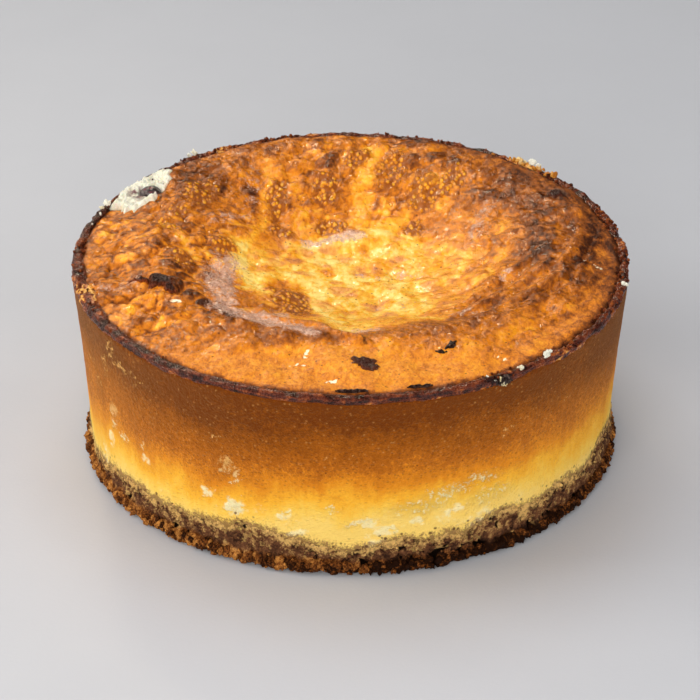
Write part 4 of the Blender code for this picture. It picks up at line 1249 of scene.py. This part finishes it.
class CHEESECAKE_OT_biscuit_base(bpy.types.Operator):
    """Builds the pressed biscuit base"""

    bl_idname = "cheesecake.biscuit_base"
    bl_label = "Biscuit base"

    def execute(self, context):
        settings, wall = cake(context).biscuit, cake(context).wall
        columns, foot, spacing = settings.columns, settings.radius / MM, settings.crumb / MM
        bearing = np.linspace(-math.pi, math.pi, columns, endpoint=False)
        underside = [(radius, 0.0) for radius in (1.5, 20, 45, 70, 84, 90, foot - 2.4)]
        outside = np.linspace(0.15, BISCUIT_HIGH, 41)
        inside = [(93.0, BISCUIT_HIGH), (88.0, 19.5), (88.0, 8.0), (1.5, 8.0)]
        rows = [np.full((columns, 2), pair) for pair in underside]
        rows += [np.column_stack((np.full(columns, foot), np.full(columns, z))) for z in outside]
        rows += [np.full((columns, 2), pair) for pair in inside]
        section = np.concatenate(rows)
        bearings = np.tile(bearing, len(rows))
        outer = slice(len(underside) * columns, (len(underside) + len(outside)) * columns)
        radius, height = section[:, 0].copy(), section[:, 1].copy()
        z, b = height[outer], bearings[outer]
        ring = turned_points(b, foot, z)
        seeds = crumb_seeds(foot, spacing, 0, 21, 9)
        draw = np.random.default_rng(10)
        tones, pushes = draw.uniform(0, 1, len(seeds)), draw.uniform(-0.8, 1.0, len(seeds))
        tree = kdtree.KDTree(len(seeds))
        for number, seed in enumerate(seeds.tolist()):
            tree.insert(seed, number)
        tree.balance()
        warped = ring + 0.5 * np.column_stack([waver(ring, 1.3, 71 + axis) for axis in range(3)])
        near = [tree.find(point)[1:] for point in warped.tolist()]
        owner = np.array([number for number, _ in near])
        distance = np.array([length for _, length in near]) / spacing
        crumb = np.sqrt(np.clip(1 - distance**2, 0, 1))
        coarse = 0.55 + 0.6 * (1 - smooth(4, 8, z))
        push, gap = base_push(ring, b, z)
        push += coarse * (1.0 * (crumb - 0.6) + 0.55 * pushes[owner] * crumb) + 0.3 * waver(ring, 0.9, 77)
        radius[outer] = wall_radius(z, wall) - 0.5 + push
        # Depth is low between crumbs and in holes, and drives the painted shade there.
        depth = np.ones(len(section))
        holes = smooth(0.45, 0.75, waver(ring, 2.0, 73) + 0.2 * gap)
        depth[outer] = np.clip(0.30 + 0.85 * crumb + 0.35 * push - 0.8 * holes, 0, 1)
        tone, soaked = np.full(len(section), 0.5), np.zeros(len(section))
        tone[outer] = tones[owner]
        soaked[outer] = smooth(3.8, 6.6, z + 1.4 * waver(ring, 5, 79))
        tone[outer] -= foot_scorch_and_shade(b, z)
        creamy = np.zeros(len(section))
        creamy[outer] = cheesiness(b, z, ring)
        points = turned_points(bearings, radius, height)
        caps = [list(range(columns)), list(range(len(section) - 1, len(section) - columns - 1, -1))]
        fields = {"tone": tone, "depth": depth, "soaked": soaked, "creamy": creamy}
        faces = turned_faces(len(rows), columns, False)
        piece = new_piece("biscuit_crumb", points, faces, biscuit_finish(settings), fields, caps)
        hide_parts("biscuit_base")
        return {"FINISHED"}


class CHEESECAKE_OT_foot_crumbs(bpy.types.Operator):
    """Scatters crumbs that stand out of the base, larger and sparser at the foot"""

    bl_idname = "cheesecake.foot_crumbs"
    bl_label = "Foot crumbs"

    def execute(self, context):
        settings, wall = cake(context).biscuit, cake(context).wall
        draw = np.random.default_rng(21)
        bearing = draw.uniform(-math.pi, math.pi, settings.crumbs)
        share = draw.uniform(0, 1, settings.crumbs)
        low = share < 0.42
        at_foot = draw.uniform(0.9, CREVICE_LOW, settings.crumbs)
        above = CREVICE_LOW + 11.5 * draw.uniform(0, 1, settings.crumbs)
        height = np.where(low, at_foot, above)
        ring = turned_points(bearing, settings.radius / MM, height)
        crevice = (height > CREVICE_LOW) & (height < CREVICE_HIGH) & (share < 0.8)
        kept = (height < biscuit_line(bearing, ring) + 0.8) & ~crevice
        bearing, height, low, ring = bearing[kept], height[kept], low[kept], ring[kept]
        large = 0.5 + 1.3 * draw.uniform(0, 1, len(height)) ** 2
        sizes = np.where(low, large, draw.uniform(0.30, 0.80, len(height)))
        push, _ = base_push(ring, bearing, height)
        radius = wall_radius(height, wall) - 0.45 + push + 0.12 * sizes
        radius = np.minimum(radius, settings.radius / MM + 1.1 - 0.3 * sizes)
        places = turned_points(bearing, radius, np.maximum(height, sizes * 0.95))
        points, faces, tones = scatter(places, sizes, 0.55, 22, raggedness=0.75)
        hold_in(points)
        per_crumb = len(points) // len(places)
        soaked = np.repeat(smooth(3.8, 6.6, height), per_crumb)
        tones = tones - np.repeat(foot_scorch_and_shade(bearing, height), per_crumb)
        creamy = np.repeat(cheesiness(bearing, height, ring), per_crumb)
        fields = {"tone": tones, "soaked": soaked, "creamy": creamy}
        new_piece("foot_crumbs", points, faces, loose_crumb_finish(settings), fields)
        return {"FINISHED"}


# The torn patch, the berry and the loose scraps

def patch_points(place, half_size, turn, squares, ragged, seed):
    """Plan points of an uneven patch on the skin: x, y, share of the way to its edge, faces and edge ring."""
    across, along, faces, ring = disc_of_squares(1.0, squares)
    share = np.hypot(across, along)
    compass = plan(across, along) / np.maximum(share, 0.001)[:, None]
    uneven = waver(compass, 0.8, seed) + 0.6 * waver(compass, 0.3, seed + 1)
    uneven = 1 + ragged * (uneven + 0.5 * waver(compass, 0.12, seed + 2)) * share
    angle = math.radians(turn)
    across, along = across * half_size[0] * uneven, along * half_size[1] * uneven
    x = place[0] + across * math.cos(angle) - along * math.sin(angle)
    y = place[1] + across * math.sin(angle) + along * math.cos(angle)
    return x, y, share, faces, ring


def closed_patch(x, y, height, faces, ring, depth):
    """A patch closed by a skirt and a flat underside."""
    under = np.full(len(ring), height[ring].min() - depth)
    middle_x, middle_y = x.mean(), y.mean()
    skirt_x, skirt_y = middle_x + 0.9 * (x[ring] - middle_x), middle_y + 0.9 * (y[ring] - middle_y)
    skirt = np.column_stack((skirt_x, skirt_y, under))
    points = np.concatenate((np.column_stack((x, y, height)), skirt))
    below = np.arange(len(ring)) + len(x)
    sides = np.stack((np.roll(ring, -1), ring, below, np.roll(below, -1)), axis=1)
    return points, np.concatenate((faces, sides)), below[::-1].tolist()


def torn_finish(settings):
    """Pale crumbly cheese with golden hollows and a berry stain."""
    finish = Finish("torn_cheese", Subsurface_Weight=0.10, Subsurface_Scale=0.002, Specular_IOR_Level=0.10)
    crust, stain = finish.field("crust"), finish.field("stain")
    fine = finish.spots(1.1, 5, 0.65)
    blot = finish.grain(2.6, 3, 0.5).between(0.35, 0.65)
    colour = finish.mixed(fine * 0.25 + crust * 0.4, settings.cheese, settings.butter)
    colour = finish.mixed(crust.between(0.45, 0.9), colour, settings.crust)
    colour = finish.mixed(stain * blot * 0.9, colour, settings.juice)
    return finish.show(Base_Color=colour, Roughness=0.45 + 0.2 * fine, Normal=finish.bump(fine, 0.4))


class CHEESECAKE_OT_torn_cheese(bpy.types.Operator):
    """Builds the patch of pale cheese where the skin tore away"""

    bl_idname = "cheesecake.torn_cheese"
    bl_label = "Torn cheese"

    def execute(self, context):
        settings = cake(context).scraps
        place, half_size, turn, _ = TEAR
        place, half_size = (place[0] + 0.2, place[1] + 0.8), (half_size[0] + 1.6, half_size[1] + 1.0)
        x, y, share, faces, ring = patch_points(place, half_size, turn, 92, 0.38, 81)
        within = np.minimum(1, (OUTER_LIMIT - 1.6) / np.hypot(x, y))
        x, y = x * within, y * within
        flat = plan(x, y)
        flakes = ridges(flat / 3.0, 83) + 0.7 * ridges(flat / 1.4, 84) + 0.8 * waver(flat, 4.5, 85)
        body = 1 - smooth(0.80, 1.0, share)
        base, _ = skin_height(x, y)
        base = np.maximum(base, SHOULDER - 1.6)
        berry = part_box("dark_berry")
        middle = [(berry[0][axis] + berry[1][axis]) / 2 / MM for axis in (0, 1)]
        hollow = 1 - smooth(3.0, 5.5, np.hypot(x - middle[0], y - middle[1]))
        height = base + body * (1.7 + 0.50 * flakes) * (1 - hollow) - 0.7 * (1 - body) - 1.2 * hollow
        stain = 1 - smooth(3.5, 7.0, np.hypot(x - middle[0] + 3.0, y - middle[1] + 1.5))
        crust = np.clip(smooth(0.88, 1.0, share) + 0.3 * smooth(0.2, 0.9, -flakes), 0, 1)
        points, faces, cap = closed_patch(x, y, height, faces, ring, 2.0)
        fields = {"crust": crust, "stain": stain}
        fields = {name: np.concatenate((values, values[ring])) for name, values in fields.items()}
        new_piece("torn_cheese", points, faces, torn_finish(settings), fields, caps=[cap])
        return {"FINISHED"}


def berry_finish(settings):
    """Shrivelled dark skin with a whitish bloom and red stains."""
    finish = Finish("berry_skin", Coat_Roughness=0.25, Specular_IOR_Level=0.4)
    crease = finish.field("crease")
    bloom = finish.grain(2.2, 4, 0.6).between(0.42, 0.66)
    fine = finish.spots(0.6, 3, 0.6)
    colour = finish.mixed(bloom * 0.55, settings.berry, settings.bloom)
    colour = finish.mixed(crease.between(0.45, 0.95), colour, settings.juice)
    return finish.show(
        Base_Color=colour, Roughness=0.35 + 0.25 * bloom, Coat_Weight=0.35 - 0.25 * bloom,
        Normal=finish.bump(fine, 0.15),
    )


class CHEESECAKE_OT_berry_skin(bpy.types.Operator):
    """Builds the shrivelled berry that shows in the tear"""

    bl_idname = "cheesecake.berry_skin"
    bl_label = "Berry"

    def execute(self, context):
        low, high = [np.array(corner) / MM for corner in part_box("dark_berry")]
        ball_points, faces = ball(5)
        wrinkles = ridges(ball_points * (2.2, 2.2, 1.3), 91)
        swell = 0.93 + 0.05 * waver(ball_points, 0.9, 92) + 0.05 * wrinkles
        points = (low + high) / 2 + ball_points * swell[:, None] * (high - low) / 2
        crease = np.clip(0.5 - 0.5 * wrinkles, 0, 1)
        material = berry_finish(cake(context).scraps)
        piece = new_piece("berry_skin", points, faces, material, {"crease": crease})
        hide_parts("dark_berry")
        return {"FINISHED"}


def charred_finish(settings):
    """Glossy charred flakes, some brown and some black, with reddish edges and painted greyish highlights in
    spots, mostly on the black ones.
    """
    finish = Finish("charred_flakes", Specular_IOR_Level=0.6)
    ember, brownness = finish.field("ember"), finish.field("brownness")
    fine = finish.spots(0.9, 4, 0.65)
    colour = finish.mixed(brownness * (0.35 + 0.65 * fine), settings.char, settings.ash)
    # Painted highlight: greyish spots, mostly on the black flakes.
    colour = finish.mixed(fine.between(0.60, 0.95) * (0.6 - 0.5 * brownness), colour, settings.crest)
    colour = finish.mixed(ember * (0.35 + 0.65 * fine), colour, settings.ember)
    return finish.show(Base_Color=colour, Roughness=0.20 + 0.30 * fine, Normal=finish.bump(fine, 0.5))


class CHEESECAKE_OT_charred_flakes(bpy.types.Operator):
    """Builds the charred flakes that lie on the skin and the rim"""

    bl_idname = "cheesecake.charred_flakes"
    bl_label = "Charred flakes"

    def execute(self, context):
        all_points, all_faces, caps, embers, browns, start = [], [], [], [], [], 0
        for number, (place, half_size, turn, rise, ember, brown) in enumerate(CHARRED_FLAKES):
            x, y, share, faces, ring = patch_points(place, half_size, turn, 38, 0.60, 100 + 2 * number)
            flat = plan(x, y)
            base, _ = skin_height(x, y)
            on_rim = smooth(92.5, 96.0, np.hypot(x, y))
            base = base + on_rim * 0.9
            wrinkled = 0.7 * ridges(flat / 2.0, 140 + number) + 0.35 * ridges(flat / 0.9, 160 + number)
            body = 1 - smooth(0.70, 1.0, share)
            height = base + body * rise * (1.0 + wrinkled) - 0.25 * (1 - body)
            points, faces, cap = closed_patch(x, y, height, faces, ring, 1.2)
            crease_tone_and_shade = np.concatenate((ember * smooth(0.6, 0.95, share), np.full(len(ring), ember)))
            all_points.append(points)
            all_faces.append(faces + start)
            caps.append([index + start for index in cap])
            embers.append(crease_tone_and_shade)
            browns.append(np.full(len(points), brown))
            start += len(points)
        points = np.concatenate(all_points)
        hold_in(points)
        material = charred_finish(cake(context).scraps)
        fields = {"ember": np.concatenate(embers), "brownness": np.concatenate(browns)}
        new_piece("charred_flakes", points, np.concatenate(all_faces), material, fields, caps=caps)
        return {"FINISHED"}


class CHEESECAKE_OT_pale_crumbs(bpy.types.Operator):
    """Places the white and golden crumbs on the lip"""

    bl_idname = "cheesecake.pale_crumbs"
    bl_label = "Pale crumbs"

    def execute(self, context):
        settings = cake(context).scraps
        places, sizes = [], []
        for bearing, radius, height, size in PALE_CRUMBS:
            places.append(turned_points(np.radians([bearing]), radius, [height])[0])
            sizes.append(size)
        material = crumb_finish("pale_crumbs", settings.butter, settings.cheese, settings.cheese, 0.0)
        crumb_piece("pale_crumbs", np.array(places), sizes, material, 1.0, 0.5, 31, 7, 4, 1.0)

        draw = np.random.default_rng(33)
        bearings = np.radians(draw.normal(GOLDEN_CLUSTER[0], GOLDEN_CLUSTER[1], GOLDEN_CLUSTER[2]))
        radius = draw.uniform(97.5, 100.0, len(bearings))
        places = turned_points(bearings, radius, SHOULDER + draw.uniform(0.0, 1.2, len(bearings)))
        sizes = draw.uniform(0.5, 1.25, len(bearings))
        material = crumb_finish("golden_crumbs", settings.crust, settings.gold, settings.butter, 0.1)
        crumb_piece("golden_crumbs", places, sizes, material, 1.0, 0.5, 34, 7, 3, 0.55)
        return {"FINISHED"}


# The stage

def add_light(name, place, size, power, colour, glints):
    """A square light that faces the cake. The soft ones give the light, and the small ones the glints."""
    data = bpy.data.lights.new(name, "AREA")
    data.size, data.energy, data.color = size, power, colour
    light = bpy.data.objects.new(name, data)
    light.location = place
    light.rotation_euler = (Vector(LAMP_AIM) - Vector(place)).to_track_quat("-Z", "Y").to_euler()
    light.visible_glossy, light.visible_diffuse = glints, not glints
    bpy.context.scene.collection.objects.link(light)


def floor_finish(settings):
    """Pale matte ground with a faint mottle, coloured darker towards the back as painted shade."""
    finish = Finish("pale_ground", Specular_IOR_Level=0.3)
    mottle = finish.grain(60, 5, 0.55)
    away = finish.start.node("ShaderNodeSeparateXYZ", {}, {"Vector": finish.place}, output="Y")
    # Painted shade: the ground darkens towards the back.
    shaded = tuple(value * settings.falloff for value in settings.floor)
    colour = finish.mixed(mottle * 0.25 + away.between(-0.5, 0.9) * 0.9, settings.floor, shaded)
    return finish.show(
        Base_Color=colour, Roughness=0.55 + 0.1 * mottle, Normal=finish.bump(finish.grain(1.5, 3), 0.05),
    )


class CHEESECAKE_OT_stage(bpy.types.Operator):
    """Sets the pale floor, the soft lights and the camera"""

    bl_idname = "cheesecake.stage"
    bl_label = "Stage"

    def execute(self, context):
        settings = cake(context).stage
        scene = context.scene
        scene.view_settings.view_transform = "Standard"
        mesh = bpy.data.meshes.new("pale_ground")
        sides = ((-1, -1), (1, -1), (1, 1), (-1, 1))
        corners = [(x * FLOOR_HALF, y * FLOOR_HALF, FLOOR_LEVEL) for x, y in sides]
        mesh.from_pydata(corners, [], [(0, 1, 2, 3)])
        mesh.materials.append(floor_finish(settings))
        floor = bpy.data.objects.new("pale_ground", mesh)
        scene.collection.objects.link(floor)

        world = bpy.data.worlds.new("soft room")
        world.use_nodes = True
        background = world.node_tree.nodes["Background"].inputs
        background["Color"].default_value = ROOM_COLOUR
        background["Strength"].default_value = ROOM_STRENGTH
        world.cycles_visibility.glossy = False
        scene.world = world
        for lamp in LAMPS:
            add_light(*lamp)

        data = bpy.data.cameras.new("camera")
        data.sensor_width = SENSOR_WIDTH
        data.lens = settings.focal / IMAGE_SIDE * SENSOR_WIDTH
        data.shift_x, data.shift_y = [shift / IMAGE_SIDE for shift in CAMERA_SHIFT]
        data.dof.use_dof = False
        data.clip_start = 0.05
        camera = bpy.data.objects.new("camera", data)
        back = settings.distance * math.cos(settings.elevation)
        up = settings.distance * math.sin(settings.elevation)
        camera.location = (0, -back, CAMERA_AIM + up)
        camera.rotation_euler = (math.pi / 2 - settings.elevation, 0, 0)
        scene.collection.objects.link(camera)
        scene.camera = camera
        return {"FINISHED"}


class CakeSettings(bpy.types.PropertyGroup):
    """The whole cake"""

    skin: bpy.props.PointerProperty(type=CakeSkinSettings, name="Skin")
    rim: bpy.props.PointerProperty(type=CakeRimSettings, name="Rim")
    wall: bpy.props.PointerProperty(type=CakeWallSettings, name="Wall")
    biscuit: bpy.props.PointerProperty(type=CakeBiscuitSettings, name="Biscuit")
    scraps: bpy.props.PointerProperty(type=CakeScrapSettings, name="Scraps")
    stage: bpy.props.PointerProperty(type=CakeStageSettings, name="Stage")


PARTS = ("skin", "rim", "wall", "biscuit", "scraps", "stage")
OPERATORS = (
    CHEESECAKE_OT_browned_skin,
    CHEESECAKE_OT_caramelised_rim,
    CHEESECAKE_OT_rim_crumbs,
    CHEESECAKE_OT_baked_wall,
    CHEESECAKE_OT_biscuit_base,
    CHEESECAKE_OT_foot_crumbs,
    CHEESECAKE_OT_torn_cheese,
    CHEESECAKE_OT_berry_skin,
    CHEESECAKE_OT_charred_flakes,
    CHEESECAKE_OT_pale_crumbs,
    CHEESECAKE_OT_stage,
)


class CHEESECAKE_PT_panel(bpy.types.Panel):
    """Lists the cake's pieces and their settings"""

    bl_idname = "CHEESECAKE_PT_panel"
    bl_label = "Baked cheesecake"
    bl_space_type = "VIEW_3D"
    bl_region_type = "UI"
    bl_category = "Cheesecake"

    def draw(self, context):
        for operator in OPERATORS:
            self.layout.operator(operator.bl_idname)
        for part in PARTS:
            box = self.layout.box()
            group = getattr(cake(context), part)
            box.label(text=part.capitalize())
            for name in group.__annotations__:
                box.prop(group, name)


CLASSES = (
    CakeSkinSettings, CakeRimSettings, CakeWallSettings, CakeBiscuitSettings, CakeScrapSettings,
    CakeStageSettings, CakeSettings, *OPERATORS, CHEESECAKE_PT_panel,
)


def register():
    for entry in CLASSES:
        bpy.utils.register_class(entry)
    bpy.types.Scene.baked_cheesecake = bpy.props.PointerProperty(type=CakeSettings)


def unregister():
    del bpy.types.Scene.baked_cheesecake
    for entry in reversed(CLASSES):
        bpy.utils.unregister_class(entry)


def main():
    register()
    for operator in OPERATORS:
        group, name = operator.bl_idname.split(".")
        getattr(getattr(bpy.ops, group), name)()


if __name__ == "__main__":
    main()
